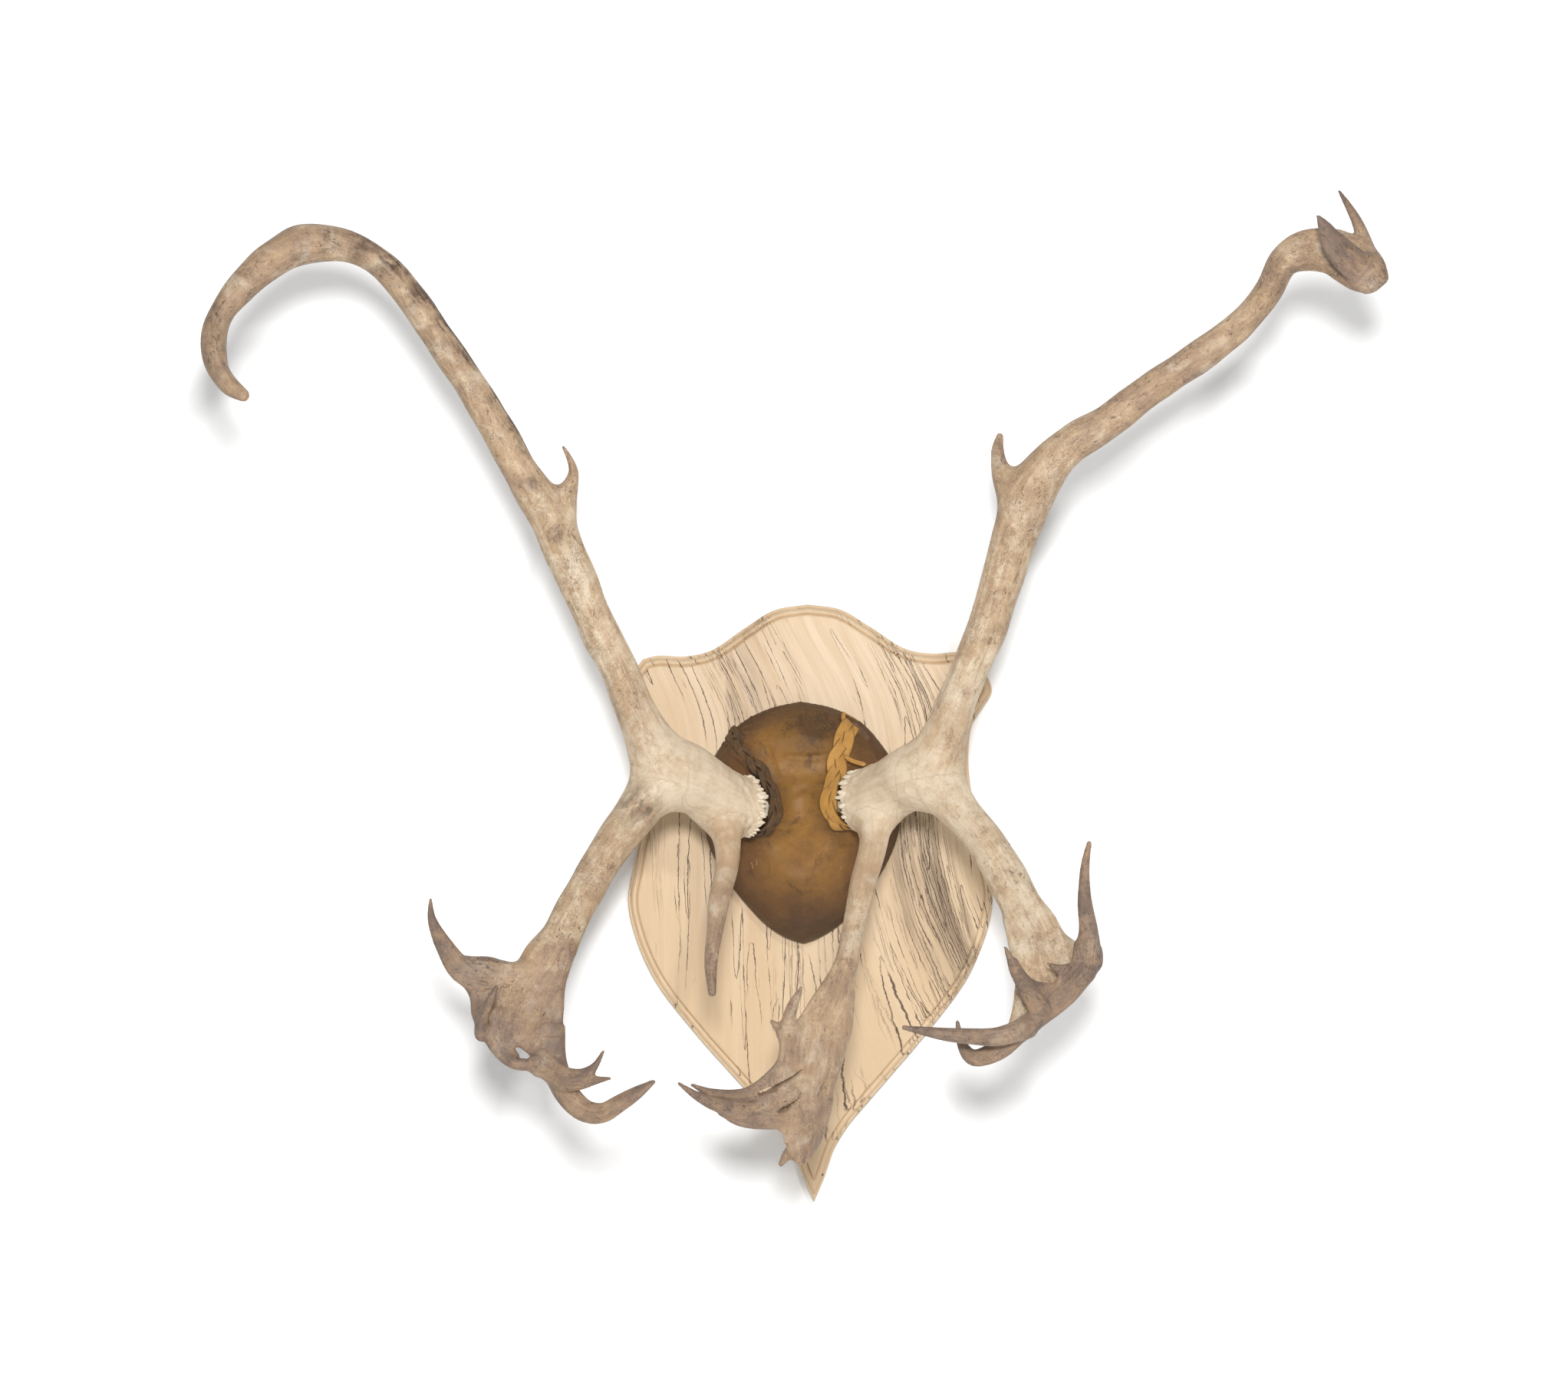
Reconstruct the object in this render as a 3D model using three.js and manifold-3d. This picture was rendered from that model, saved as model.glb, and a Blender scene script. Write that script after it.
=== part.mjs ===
import * as THREE from "three";
import { mergeVertices } from "three/addons/utils/BufferGeometryUtils.js";
import Module from "manifold-3d";

// A caribou antler trophy: two antlers on a leather-covered skull plate, on a carved wooden shield.
// Millimetres. The wall is the plane y = 0, the front looks towards -Y, +X is right and +Z is up.
// The origin is the middle of the shield's back face. Left and right are the viewer's.

const GAP = 0.3; // clearance between pieces that touch

// The shield. Its outline is symmetric, so only the right half is given, as smooth stretches
// that meet at corners. Each point is [x, z].
const SHIELD = {
  layers: [
    { inset: 0, back: 0, front: 13 }, // full outline
    { inset: 3.5, back: 12, front: 18 }, // bead
    { inset: 9, back: 17, front: 22 }, // raised panel
  ],
  crest: [[0, 271], [30, 266], [57, 250], [88, 230], [112, 225], [136, 226], [150, 223]],
  ear: [[150, 223], [162, 206], [167, 190], [160, 178]],
  side: [
    [160, 178], [149, 160], [145, 130], [148, 95], [160, 38], [166, 5],
    [161, -25], [143, -68], [105, -119], [72, -157], [34, -200],
  ],
  flare: [[34, -200], [20, -222], [10, -249], [0, -272]],
};

// The leather cover and the skull plate under it share one domed form.
const SKULL = {
  middle: -7, // x of the skull's midline
  outline: [
    [0, 183], [28, 177], [54, 164], [70, 147], [84, 124], [89, 96], [87, 62],
    [76, 34], [57, 6], [32, -21], [12, -33], [0, -37],
  ],
  peak: 84, // z of the highest point of the dome
  seat: 22 + GAP, // depth where the form meets the shield
  height: 56,
  // Share of the outline kept at each share of the height.
  profile: [[0, 1], [0.2, 0.985], [0.42, 0.94], [0.62, 0.85], [0.79, 0.7], [0.91, 0.5], [0.98, 0.26]],
  outlineSteps: 11,
};
const LEATHER_THICKNESS = 2.5;

// A pedicle carries each antler. Its axis is the antler's own, outward and forward.
const PEDICLE = { radius: 15, length: 62, collarEnd: 6 };
const BURR = {
  radius: 27.5, length: 9, pearls: 16, pearlHeight: 2.4,
  profile: [[0, 0.92], [0.4, 1], [1, 0.86]], // [share of its length, share of its radius]
};
const ANTLER_AXIS = { outward: 0.78, forward: 0.62, upward: 0.08 };
const LEFT_BURR = [-56, -96, 90];
const RIGHT_BURR = [42, -96, 94];

// Stations of the limbs: [x, y, z, half width, half thickness]. The half thickness is the half
// width where it isn't given. A limb is smooth through its stations.
const LEFT_BEAM = [
  [-56, -96, 90, 25], [-72, -109, 98, 24], [-97, -128, 112, 27, 25], [-126, -146, 130, 27, 23],
  [-144, -156, 162, 18.5], [-164, -165, 212, 16], [-183, -172, 251, 16], [-204, -180, 302, 17.5],
  [-222, -186, 344, 18], [-249, -192, 390, 15], [-274, -198, 436, 14.5], [-303, -203, 481, 13.4],
  [-334, -208, 529, 12.2], [-360, -213, 560, 11.8], [-384, -217, 573, 13], [-408, -224, 577, 15.5],
  [-430, -234, 573, 17], [-450, -245, 560, 15.5], [-470, -256, 540, 13], [-487, -268, 516, 10.5],
  [-493, -280, 493, 10.2], [-488, -296, 466, 9.6], [-476, -312, 449, 8], [-463, -322, 440, 5],
];
const LEFT_REAR_POINT = [
  [-214, -188, 350, 14, 10], [-205, -184, 368, 7.5], [-201, -180, 383, 4.2], [-205, -177, 396, 2.6],
  [-210, -175, 405, 1.6],
];
const LEFT_BEZ = [
  [-118, -140, 120, 22], [-142, -153, 100, 20], [-157, -168, 80, 18.5, 16], [-177, -190, 52, 16.5, 14],
  [-197, -214, 18, 16.5, 13], [-212, -237, -12, 17, 12], [-225, -253, -34, 22, 9],
  [-238, -266, -58, 26, 7], [-240, -280, -82, 22, 5], [-229, -290, -102, 14, 5], [-224, -298, -120, 11, 5],
];
// A palm is a sloping plate: an outline of [x, z], one point of its middle plane, and how much
// the plane's y changes with x and with z.
const LEFT_PALM = {
  outline: [
    [-225, -19], [-239, -29], [-251, -32], [-301, -25], [-310, -30], [-294, -51], [-279, -86],
    [-258, -99], [-248, -99], [-237, -104], [-220, -122], [-208, -119], [-208, -54], [-200, -23],
  ],
  on: [-240, -268, -60],
  slope: [0, 0.56],
  halfThickness: 4.5,
};
const LEFT_BEZ_POINTS = [
  // upper spike
  [
    [-238, -263, -50, 17, 5], [-270, -268, -46, 15, 5], [-293, -271, -38, 12, 5], [-307, -276, -18, 8, 5],
    [-317, -284, 6, 4], [-317, -292, 23, 1.6],
  ],
  // loop at the lower corner
  [
    [-270, -281, -74, 12, 5], [-268, -287, -90, 8, 5], [-261, -293, -105, 5], [-247, -298, -114, 5],
    [-230, -301, -113, 6],
  ],
  // spike on the front of the palm
  [[-275, -284, -88, 6], [-273, -297, -71, 5], [-266, -307, -59, 2.6], [-261, -313, -50, 1.6]],
  // forked point, upper and lower prong
  [
    [-229, -298, -112, 10, 6], [-207, -310, -125, 9.5, 6], [-192, -318, -123, 7, 5],
    [-181, -326, -114, 3.4], [-173, -334, -101, 1.6],
  ],
  [[-207, -310, -126, 9, 6], [-192, -318, -126, 7, 5], [-179, -326, -125, 3.4], [-168, -332, -123, 1.6]],
  // long lowest point
  [
    [-221, -286, -88, 14, 6], [-216, -295, -116, 11.5, 6], [-206, -303, -138, 10, 6],
    [-191, -311, -152, 9.5, 6], [-175, -320, -153, 8.5, 5.5], [-160, -328, -144, 6, 5],
    [-145, -336, -134, 4], [-132, -344, -125, 1.6],
  ],
];
const LEFT_BROW = [
  [-82, -112, 94, 20], [-75, -122, 76, 15], [-73, -136, 58, 11], [-74, -152, 38, 9],
  [-80, -176, 12, 9], [-84, -198, -15, 7.2], [-87, -214, -40, 5.4], [-86, -227, -63, 3.6],
];
const RIGHT_BEAM = [
  [42, -96, 94, 25], [57, -108, 101, 24], [80, -127, 111, 26, 24], [103, -145, 124, 26, 22],
  [117, -156, 152, 20], [128, -163, 184, 16], [138, -168, 208, 16], [153, -174, 242, 17],
  [172, -184, 304, 18.5], [181, -189, 336, 20], [193, -195, 364, 21], [210, -200, 386, 18],
  [228, -204, 402, 16.5], [256, -209, 419, 15], [286, -214, 441, 15], [316, -220, 461, 14],
  [344, -228, 480, 13.6], [370, -237, 500, 12], [390, -248, 525, 12], [402, -261, 548, 13.4],
  [418, -274, 555, 17, 11], [438, -287, 552, 19, 8], [453, -297, 541, 20, 8], [463, -305, 531, 18, 8],
  [469, -311, 523, 13, 7],
];
const RIGHT_REAR_POINT = [
  [182, -193, 350, 16, 12], [170, -191, 370, 10.5], [165, -189, 386, 7], [164, -187, 398, 5.6],
  [166, -186, 409, 3.4],
];
const RIGHT_CROWN_POINTS = [
  // front point
  [
    [461, -306, 533, 13, 6], [444, -318, 543, 13, 5.5], [431, -327, 556, 9.5, 5],
    [424, -333, 567, 5.5, 4.4], [418, -338, 575, 1.6],
  ],
  // rear point
  [
    [463, -303, 531, 11, 6], [465, -294, 552, 7, 5], [460, -287, 573, 5], [453, -280, 590, 3.4],
    [446, -274, 604, 1.6],
  ],
];
const RIGHT_BEZ = [
  [93, -138, 118, 22], [115, -153, 102, 20], [131, -168, 83, 17.5, 15], [150, -188, 59, 17.5, 14],
  [165, -210, 33, 17, 13], [177, -232, 8, 18, 11], [187, -251, -15, 23, 8], [189, -270, -38, 22, 6],
  [181, -290, -64, 17, 5], [169, -308, -88, 9, 5],
];
const RIGHT_PALM = {
  outline: [
    [163, -2], [168, -51], [161, -89], [180, -82], [216, -50], [224, -34], [222, -22], [201, -5],
    [196, 5],
  ],
  on: [189, -270, -38],
  slope: [-0.2, 0.8],
  halfThickness: 4.5,
};
// The outer lip of the palm stands in front of it and carries its points.
const RIGHT_LIP = {
  outline: [
    [217, -33], [204, -37], [191, -34], [202, -45], [199, -51], [179, -46], [165, -29], [161, -32],
    [168, -51], [184, -72], [181, -78], [170, -83], [174, -93], [200, -78], [239, -42], [241, -34],
    [237, -20], [217, -18],
  ],
  on: [200, -305, -55],
  slope: [0.746, -0.13],
  halfThickness: 4.5,
};
const RIGHT_BEZ_POINTS = [
  // keel where the lip grows out of the palm
  [[226, -286, -46, 8], [212, -297, -60, 8], [197, -304, -72, 8], [181, -311, -82, 8], [168, -314, -91, 7]],
  // tall outer spike
  [
    [227, -292, -34, 12, 6], [227, -306, -8, 7.5, 5], [223, -318, 18, 5], [223, -327, 45, 3],
    [226, -334, 65, 1.6],
  ],
  // inner spike
  [[186, -316, -74, 9, 5], [173, -328, -52, 7, 4.5], [163, -336, -35, 4], [156, -342, -19, 1.6]],
  // long inner point
  [
    [177, -318, -86, 9, 5], [149, -328, -93, 6.5, 5], [118, -336, -91, 5.4], [92, -342, -87, 3.2],
    [72, -346, -83, 1.6],
  ],
  // curled point behind it
  [
    [172, -308, -90, 8, 5], [151, -301, -107, 6.5, 5], [131, -298, -113, 5.5], [122, -300, -102, 3.6],
    [118, -304, -83, 1.6],
  ],
];
const RIGHT_BROW = [
  [66, -110, 98, 20], [58, -119, 78, 16], [54, -130, 58, 13], [48, -150, 34, 11.5], [40, -174, 4, 10.5],
  [32, -195, -27, 10.5], [24, -213, -56, 15, 9], [13, -228, -84, 26, 7], [-1, -240, -110, 30, 6],
  [-8, -250, -136, 31, 5.5], [-9, -256, -165, 25, 5.5], [-10, -258, -187, 13, 5], [-12, -258, -201, 5, 4],
];
const RIGHT_SHOVEL = {
  outline: [
    [12, -61], [-2, -78], [-30, -95], [-29, -106], [-36, -146], [-23, -193], [-19, -200],
    [-11, -203], [3, -191], [12, -170], [29, -106], [34, -64],
  ],
  on: [-8, -250, -136],
  slope: [0.83, 0.088],
  halfThickness: 4.5,
};
const RIGHT_BROW_POINTS = [
  // two small points on the upper edge
  [[-22, -256, -97, 9, 5], [-21, -256, -83, 6, 4.5], [-17, -253, -71, 4.6], [-10, -252, -57, 1.6]],
  [[-20, -252, -100, 7, 5], [-29, -258, -91, 4.4], [-36, -264, -84, 1.6]],
  // three long points that sweep to the left
  [[-24, -262, -128, 11, 6], [-56, -280, -145, 8, 5], [-84, -296, -141, 4.6], [-102, -306, -132, 1.6]],
  [
    [-20, -264, -146, 12, 6], [-50, -284, -156, 8.5, 5], [-81, -304, -149, 6], [-98, -314, -140, 3.8],
    [-112, -322, -129, 1.6],
  ],
  [[-17, -264, -163, 11, 6], [-40, -279, -167, 6.5, 5], [-64, -291, -165, 3.4], [-79, -299, -157, 1.6]],
  // small knob at the bottom
  [[-13, -258, -186, 7, 4], [-24, -260, -197, 4.5], [-29, -262, -204, 2.6]],
];
const FRONT = new THREE.Vector3(0, -1, 0);
const SHOVEL_FACING = new THREE.Vector3(0.64, -0.77, 0); // the shovel's flat side looks right and forward
const BRANCH_CUT = 2; // a branch is a piece of its own from this station on
const LIMB_SIDES = 9; // corners round a beam and a main branch
const POINT_SIDES = 6; // corners round a point
const RINGS_PER_STATION = 1.1;
const FOOT_LEAD = 5; // a beam starts this far behind its burr, and is then cut square to its axis
const FOOT_CLEARANCE = 60; // radius and depth of the bar that cuts it

// The braids. Each runs over the dome from the cover's top edge and half round the pedicle.
const BRAID = { halfWidth: 8.5, halfThickness: 3.8, ringRadius: 22, ringStation: 15, steps: 15, sides: 6 };
const BRAID_ON_DOME = [0.35, -1, 0.35]; // which way its flat side faces on the dome, on the right
const BRAID_TURNS = [0.2, 0.45]; // shares of its length between which it turns to face off the pedicle
const BRAID_START = [[48, 38, 168], [39, 58, 152], [33, 76, 132]]; // distance from midline, depth, z
const BRAID_RING_DEGREES = [58, 25, -10, -45, -80, -115, -145];

// Fixings at the back.
const SKULL_SCREWS = { top: [-7, 150], left: [-35, 52], right: [21, 52] };
const SCREW = { headRadius: 4.6, headLength: 3, shankRadius: 2.2, length: 44, sunk: 1 };
const SCREW_TIP = { length: 3, radius: 0.6 };
const SCREW_RIM = 0.6; // straight part of a countersunk head
const SCREW_SIDES = 10;
const PEDICLE_SIDES = 12;
const WALL_REACH = 400; // wider than the skull, for the box that trims it at its seat
const HANGER = {
  z: 205, width: 18, height: 46, thickness: 1.8, sunk: 0.4,
  entryRadius: 5.2, entryZ: -7, slotWidth: 5, slotTop: 9,
  screwZ: 18, screwLength: 14, screwHeadRadius: 3.4, screwShankRadius: 1.5,
  pocket: { width: 14, depth: 10, height: 30 }, arcSteps: 6,
};

const wasm = await Module();
wasm.setup();

// Makes a solid from a closed geometry.
function solid(geometry) {
  const bare = geometry.index ? geometry.toNonIndexed() : geometry.clone();
  bare.deleteAttribute("normal");
  bare.deleteAttribute("uv");
  const merged = mergeVertices(bare, 1e-4);
  return new wasm.Manifold(
    new wasm.Mesh({
      numProp: 3,
      vertProperties: merged.attributes.position.array,
      triVerts: new Uint32Array(merged.index.array),
    }),
  );
}

function join(solids) {
  return solids.reduce((all, next) => all.add(next));
}

// Fills the pockets that are left inside where branches run side by side.
function filled(body) {
  return join(body.decompose().filter((shell) => shell.volume() > 0));
}

function cut(body, cutters) {
  return cutters.reduce((left, cutter) => left.subtract(cutter), body);
}

function geometryOf(body) {
  const mesh = body.getMesh();
  const positions = [];
  for (let i = 0; i < mesh.vertProperties.length; i += mesh.numProp) {
    positions.push(...mesh.vertProperties.slice(i, i + 3));
  }
  const geometry = new THREE.BufferGeometry();
  geometry.setAttribute("position", new THREE.Float32BufferAttribute(positions, 3));
  geometry.setIndex(new THREE.BufferAttribute(mesh.triVerts, 1));
  geometry.computeVertexNormals();
  return geometry;
}

// Joins rings of equally many points into a closed skin, with a fan on each end ring.
function skinOf(rings) {
  const sides = rings[0].length;
  const points = rings.flat();
  const triangles = [];
  for (let i = 0; i + 1 < rings.length; i++) {
    for (let j = 0; j < sides; j++) {
      const next = (j + 1) % sides;
      const a = i * sides + j;
      const b = i * sides + next;
      triangles.push(a, b, a + sides, b, b + sides, a + sides);
    }
  }
  const middleOf = (ring) => ring.reduce((sum, p) => sum.clone().add(p)).divideScalar(sides);
  const first = points.push(middleOf(rings[0])) - 1;
  const last = points.push(middleOf(rings.at(-1))) - 1;
  const lastRing = (rings.length - 1) * sides;
  for (let j = 0; j < sides; j++) {
    const next = (j + 1) % sides;
    triangles.push(first, next, j);
    triangles.push(last, lastRing + j, lastRing + next);
  }
  const geometry = new THREE.BufferGeometry().setFromPoints(points);
  geometry.setIndex(triangles);
  return geometry;
}

// A ring of points round a centre line: reachAt gives its two half widths at each corner.
function ringOf(middle, across, up, sides, reachAt) {
  const ring = [];
  for (let j = 0; j < sides; j++) {
    const angle = (2 * Math.PI * j) / sides;
    const [wide, high] = reachAt(j);
    ring.push(
      middle
        .clone()
        .addScaledVector(across, wide * Math.cos(angle))
        .addScaledVector(up, high * Math.sin(angle)),
    );
  }
  return ring;
}

// Sweeps an ellipse through a limb's stations, from one station number to another.
function limb(stations, options = {}) {
  const { sides = POINT_SIDES, facing = FRONT, grow = 0, lead = 0, rings = RINGS_PER_STATION } = options;
  const { from = 0, to = stations.length - 1 } = options;
  const spans = stations.length - 1;
  const curve = new THREE.CatmullRomCurve3(
    stations.map(([x, y, z]) => new THREE.Vector3(x, y, z)),
  );
  const ringCount = Math.round((to - from) * rings);
  const skin = [];
  for (let i = 0; i <= ringCount; i++) {
    const along = from + ((to - from) * i) / ringCount;
    const k = Math.min(Math.floor(along), spans - 1);
    const [, , , wide, thick = wide] = stations[k];
    const [, , , nextWide, nextThick = nextWide] = stations[k + 1];
    const halfWidth = THREE.MathUtils.lerp(wide, nextWide, along - k) + grow;
    const halfThickness = THREE.MathUtils.lerp(thick, nextThick, along - k) + grow;
    const middle = curve.getPoint(along / spans);
    const tangent = curve.getTangent(along / spans);
    const flat = facing.clone().addScaledVector(tangent, -facing.dot(tangent)).normalize();
    const across = new THREE.Vector3().crossVectors(flat, tangent);
    if (i === 0) middle.addScaledVector(tangent, -lead);
    skin.push(ringOf(middle, across, flat, sides, () => [halfWidth, halfThickness]));
  }
  return solid(skinOf(skin));
}

// The direction from a burr into its antler: side is -1 on the left and 1 on the right.
function antlerAxis(side) {
  const { outward, forward, upward } = ANTLER_AXIS;
  return new THREE.Vector3(side * outward, -forward, upward).normalize();
}

// Makes a round bar along an axis from rings given as [distance along, radius].
function turned(start, axis, profile, sides, radiusAt = (radius) => radius) {
  const level = new THREE.Vector3(0, 0, 1);
  level.addScaledVector(axis, -axis.z).normalize();
  const across = new THREE.Vector3().crossVectors(level, axis);
  const rings = profile.map(([distance, radius]) => {
    const middle = new THREE.Vector3(...start).addScaledVector(axis, distance);
    return ringOf(middle, across, level, sides, (j) => Array(2).fill(radiusAt(radius, j)));
  });
  return solid(skinOf(rings));
}

// A burr is a crown of pearls round the foot of the antler.
function burr(start, side) {
  const { radius, length, pearls, pearlHeight } = BURR;
  const profile = BURR.profile.map(([along, share]) => [along * length, share * radius]);
  const knobbed = (reach, j) => reach + (j % 2 ? pearlHeight : 0);
  return turned(start, antlerAxis(side), profile, 2 * pearls, knobbed);
}

// Splits an antler at its forks: returns the beam, the bez tine and the brow tine.
function antler(side, parts) {
  const { start, beam, beamPoints, bez, bezPoints, brow, browPoints, browFacing } = parts;
  const browOptions = { sides: 8, facing: browFacing };
  const cutter = { from: BRANCH_CUT, grow: GAP, lead: GAP };
  const stubs = [
    limb(bez, { sides: LIMB_SIDES, to: BRANCH_CUT }),
    limb(brow, { ...browOptions, to: BRANCH_CUT }),
  ];
  const stem = limb(beam, { sides: LIMB_SIDES, lead: FOOT_LEAD });
  const whole = join([stem, burr(start, side), ...beamPoints, ...stubs]);
  const behindBurr = pedicleBar(start, side, FOOT_CLEARANCE, 0, FOOT_CLEARANCE);
  const branches = [limb(bez, { sides: LIMB_SIDES, ...cutter }), limb(brow, { ...browOptions, ...cutter })];
  return {
    beam: cut(whole, [behindBurr, ...branches]),
    bez: filled(join([limb(bez, { sides: LIMB_SIDES, from: BRANCH_CUT }), ...bezPoints])),
    brow: filled(join([limb(brow, { ...browOptions, from: BRANCH_CUT }), ...browPoints])),
  };
}

function leftAntler() {
  return antler(-1, {
    start: LEFT_BURR,
    beam: LEFT_BEAM,
    beamPoints: [limb(LEFT_REAR_POINT)],
    bez: LEFT_BEZ,
    bezPoints: [slab(LEFT_PALM), ...LEFT_BEZ_POINTS.map((stations) => limb(stations))],
    brow: LEFT_BROW,
    browPoints: [],
    browFacing: FRONT,
  });
}

function rightAntler() {
  const bezPoints = RIGHT_BEZ_POINTS.map((stations) => limb(stations));
  return antler(1, {
    start: RIGHT_BURR,
    beam: RIGHT_BEAM,
    beamPoints: [RIGHT_REAR_POINT, ...RIGHT_CROWN_POINTS].map((stations) => limb(stations)),
    bez: RIGHT_BEZ,
    bezPoints: [slab(RIGHT_PALM), slab(RIGHT_LIP), ...bezPoints],
    brow: RIGHT_BROW,
    browPoints: [slab(RIGHT_SHOVEL), ...RIGHT_BROW_POINTS.map((stations) => limb(stations))],
    browFacing: SHOVEL_FACING,
  });
}

// The shield's whole outline, down the right side and up the left.
function shieldOutline() {
  const right = [];
  for (const stretch of [SHIELD.crest, SHIELD.ear, SHIELD.side, SHIELD.flare]) {
    const curve = new THREE.SplineCurve(stretch.map(([x, z]) => new THREE.Vector2(x, z)));
    right.push(...curve.getPoints(stretch.length + 1).slice(right.length ? 1 : 0));
  }
  const left = right.slice(1, -1).reverse();
  return [...right, ...left.map((p) => new THREE.Vector2(-p.x, p.y))];
}

// Moves a clockwise outline inwards. Points that cross the middle near the tip are dropped.
function inset(outline, distance) {
  const moved = outline.map((point, i) => {
    const before = outline.at(i - 1);
    const after = outline[(i + 1) % outline.length];
    const inwardOf = (a, b) => new THREE.Vector2(b.y - a.y, a.x - b.x).normalize();
    const first = inwardOf(before, point);
    const second = inwardOf(point, after);
    const mitre = first.clone().add(second).divideScalar(1 + first.dot(second));
    return point.clone().addScaledVector(mitre, distance);
  });
  return moved.filter((point, i) => Math.abs(outline[i].x) < 1 || point.x * outline[i].x > 0);
}

// A flat plate with the given outline in X and Z, between two depths in front of the wall.
function plate(outline, back, front) {
  const shape = new THREE.Shape(outline);
  const geometry = new THREE.ExtrudeGeometry(shape, { depth: front - back, bevelEnabled: false });
  geometry.rotateX(Math.PI / 2); // the extrusion now runs towards -Y
  geometry.translate(0, -back, 0);
  return solid(geometry);
}

// A plate of bone laid on a sloping plane.
function slab({ outline, on, slope, halfThickness }) {
  const [x, y, z] = on;
  const [slopeX, slopeZ] = slope;
  const level = plate(outline.map(([px, pz]) => new THREE.Vector2(px, pz)), -halfThickness, halfThickness);
  const shift = y - slopeX * x - slopeZ * z;
  return level.transform([1, slopeX, 0, 0, 0, 1, 0, 0, 0, slopeZ, 1, 0, 0, shift, 0, 1]);
}

function shieldBlank() {
  const outline = shieldOutline();
  return join(SHIELD.layers.map(({ inset: by, back, front }) => plate(inset(outline, by), back, front)));
}

// The dome shared by the cover and the skull plate, shrunk on all sides by the given amount.
function dome(shrink, back = SKULL.seat) {
  const curve = new THREE.SplineCurve(SKULL.outline.map(([x, z]) => new THREE.Vector2(x, z)));
  const half = curve.getPoints(SKULL.outlineSteps);
  const left = half.slice(1, -1).reverse().map((p) => new THREE.Vector2(-p.x, p.y));
  const outline = inset([...half, ...left], shrink);
  const height = SKULL.height - shrink;
  const ringAt = (depth, share) =>
    outline.toReversed().map((p) => new THREE.Vector3(
      SKULL.middle + share * p.x,
      -depth,
      SKULL.peak + share * (p.y - SKULL.peak),
    ));
  const rings = SKULL.profile.map(([rise, share]) => ringAt(SKULL.seat + rise * height, share));
  if (back < SKULL.seat) rings.unshift(ringAt(back, 1));
  return solid(skinOf(rings));
}

// A round bar along a pedicle's axis, between two distances back from the burr.
function pedicleBar(start, side, radius, near, far) {
  return turned(start, antlerAxis(side), [[-far, radius], [-near, radius]], PEDICLE_SIDES);
}

function pedicleBars(radius, near, far) {
  return [pedicleBar(LEFT_BURR, -1, radius, near, far), pedicleBar(RIGHT_BURR, 1, radius, near, far)];
}

// The wood or bone behind the shield's face must not be reached by the pedicles' hidden ends.
function behindForm() {
  const box = new THREE.BoxGeometry(WALL_REACH, 2 * SKULL.seat, WALL_REACH);
  box.translate(SKULL.middle, 0, SKULL.peak);
  return solid(box);
}

function skullPlate() {
  const form = dome(LEATHER_THICKNESS + GAP);
  const { radius, length } = PEDICLE;
  const whole = join([form, ...pedicleBars(radius, GAP, length)]);
  const holes = Object.values(SKULL_SCREWS).map(([x, z]) => screwAt(x, z, GAP));
  return cut(whole, [behindForm(), ...holes]);
}

function leatherCover() {
  const { radius, length, collarEnd } = PEDICLE;
  const outer = join([dome(0), ...pedicleBars(radius + GAP + LEATHER_THICKNESS, collarEnd, length)]);
  const bars = pedicleBars(radius + GAP, 0, length + 1);
  const inner = join([dome(LEATHER_THICKNESS, SKULL.seat - 1), ...bars]);
  return cut(outer, [inner, behindForm()]);
}

// A braid's centre line: over the dome, then round the pedicle's axis at the given centre.
function braidPath(centre, axis, side) {
  const level = new THREE.Vector3(0, 0, 1).addScaledVector(axis, -axis.z).normalize();
  const towardsViewer = new THREE.Vector3().crossVectors(level, axis).multiplyScalar(side);
  const ring = BRAID_RING_DEGREES.map((degrees) => {
    const angle = THREE.MathUtils.degToRad(degrees);
    return centre
      .clone()
      .addScaledVector(towardsViewer, -BRAID.ringRadius * Math.cos(angle))
      .addScaledVector(level, BRAID.ringRadius * Math.sin(angle));
  });
  const over = BRAID_START.map(([x, depth, z]) => new THREE.Vector3(SKULL.middle + side * x, -depth, z));
  return new THREE.CatmullRomCurve3([...over, ...ring]);
}

// Sweeps the braid's flat section. Its flat side faces away from the dome, then from the pedicle.
function braidBand(start, side) {
  const { halfWidth, halfThickness, ringStation, steps, sides } = BRAID;
  const axis = antlerAxis(side);
  const centre = new THREE.Vector3(...start).addScaledVector(axis, -ringStation);
  const curve = braidPath(centre, axis, side);
  const [x, y, z] = BRAID_ON_DOME;
  const offDome = new THREE.Vector3(side * x, y, z).normalize();
  const rings = [];
  for (let i = 0; i <= steps; i++) {
    const middle = curve.getPoint(i / steps);
    const tangent = curve.getTangent(i / steps);
    const fromAxis = middle.clone().sub(centre);
    fromAxis.addScaledVector(axis, -fromAxis.dot(axis)).normalize();
    const flat = offDome.clone().lerp(fromAxis, THREE.MathUtils.smoothstep(i / steps, ...BRAID_TURNS));
    flat.addScaledVector(tangent, -flat.dot(tangent)).normalize();
    const across = new THREE.Vector3().crossVectors(flat, tangent);
    rings.push(ringOf(middle, across, flat, sides, () => [halfWidth, halfThickness]));
  }
  return solid(skinOf(rings));
}

function braid(start, side) {
  const { radius, length, collarEnd } = PEDICLE;
  const leatherBars = pedicleBars(radius + 2 * GAP + LEATHER_THICKNESS, collarEnd - GAP, length);
  return cut(braidBand(start, side), [dome(-GAP), ...leatherBars, ...pedicleBars(radius + GAP, 0, length)]);
}

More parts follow.
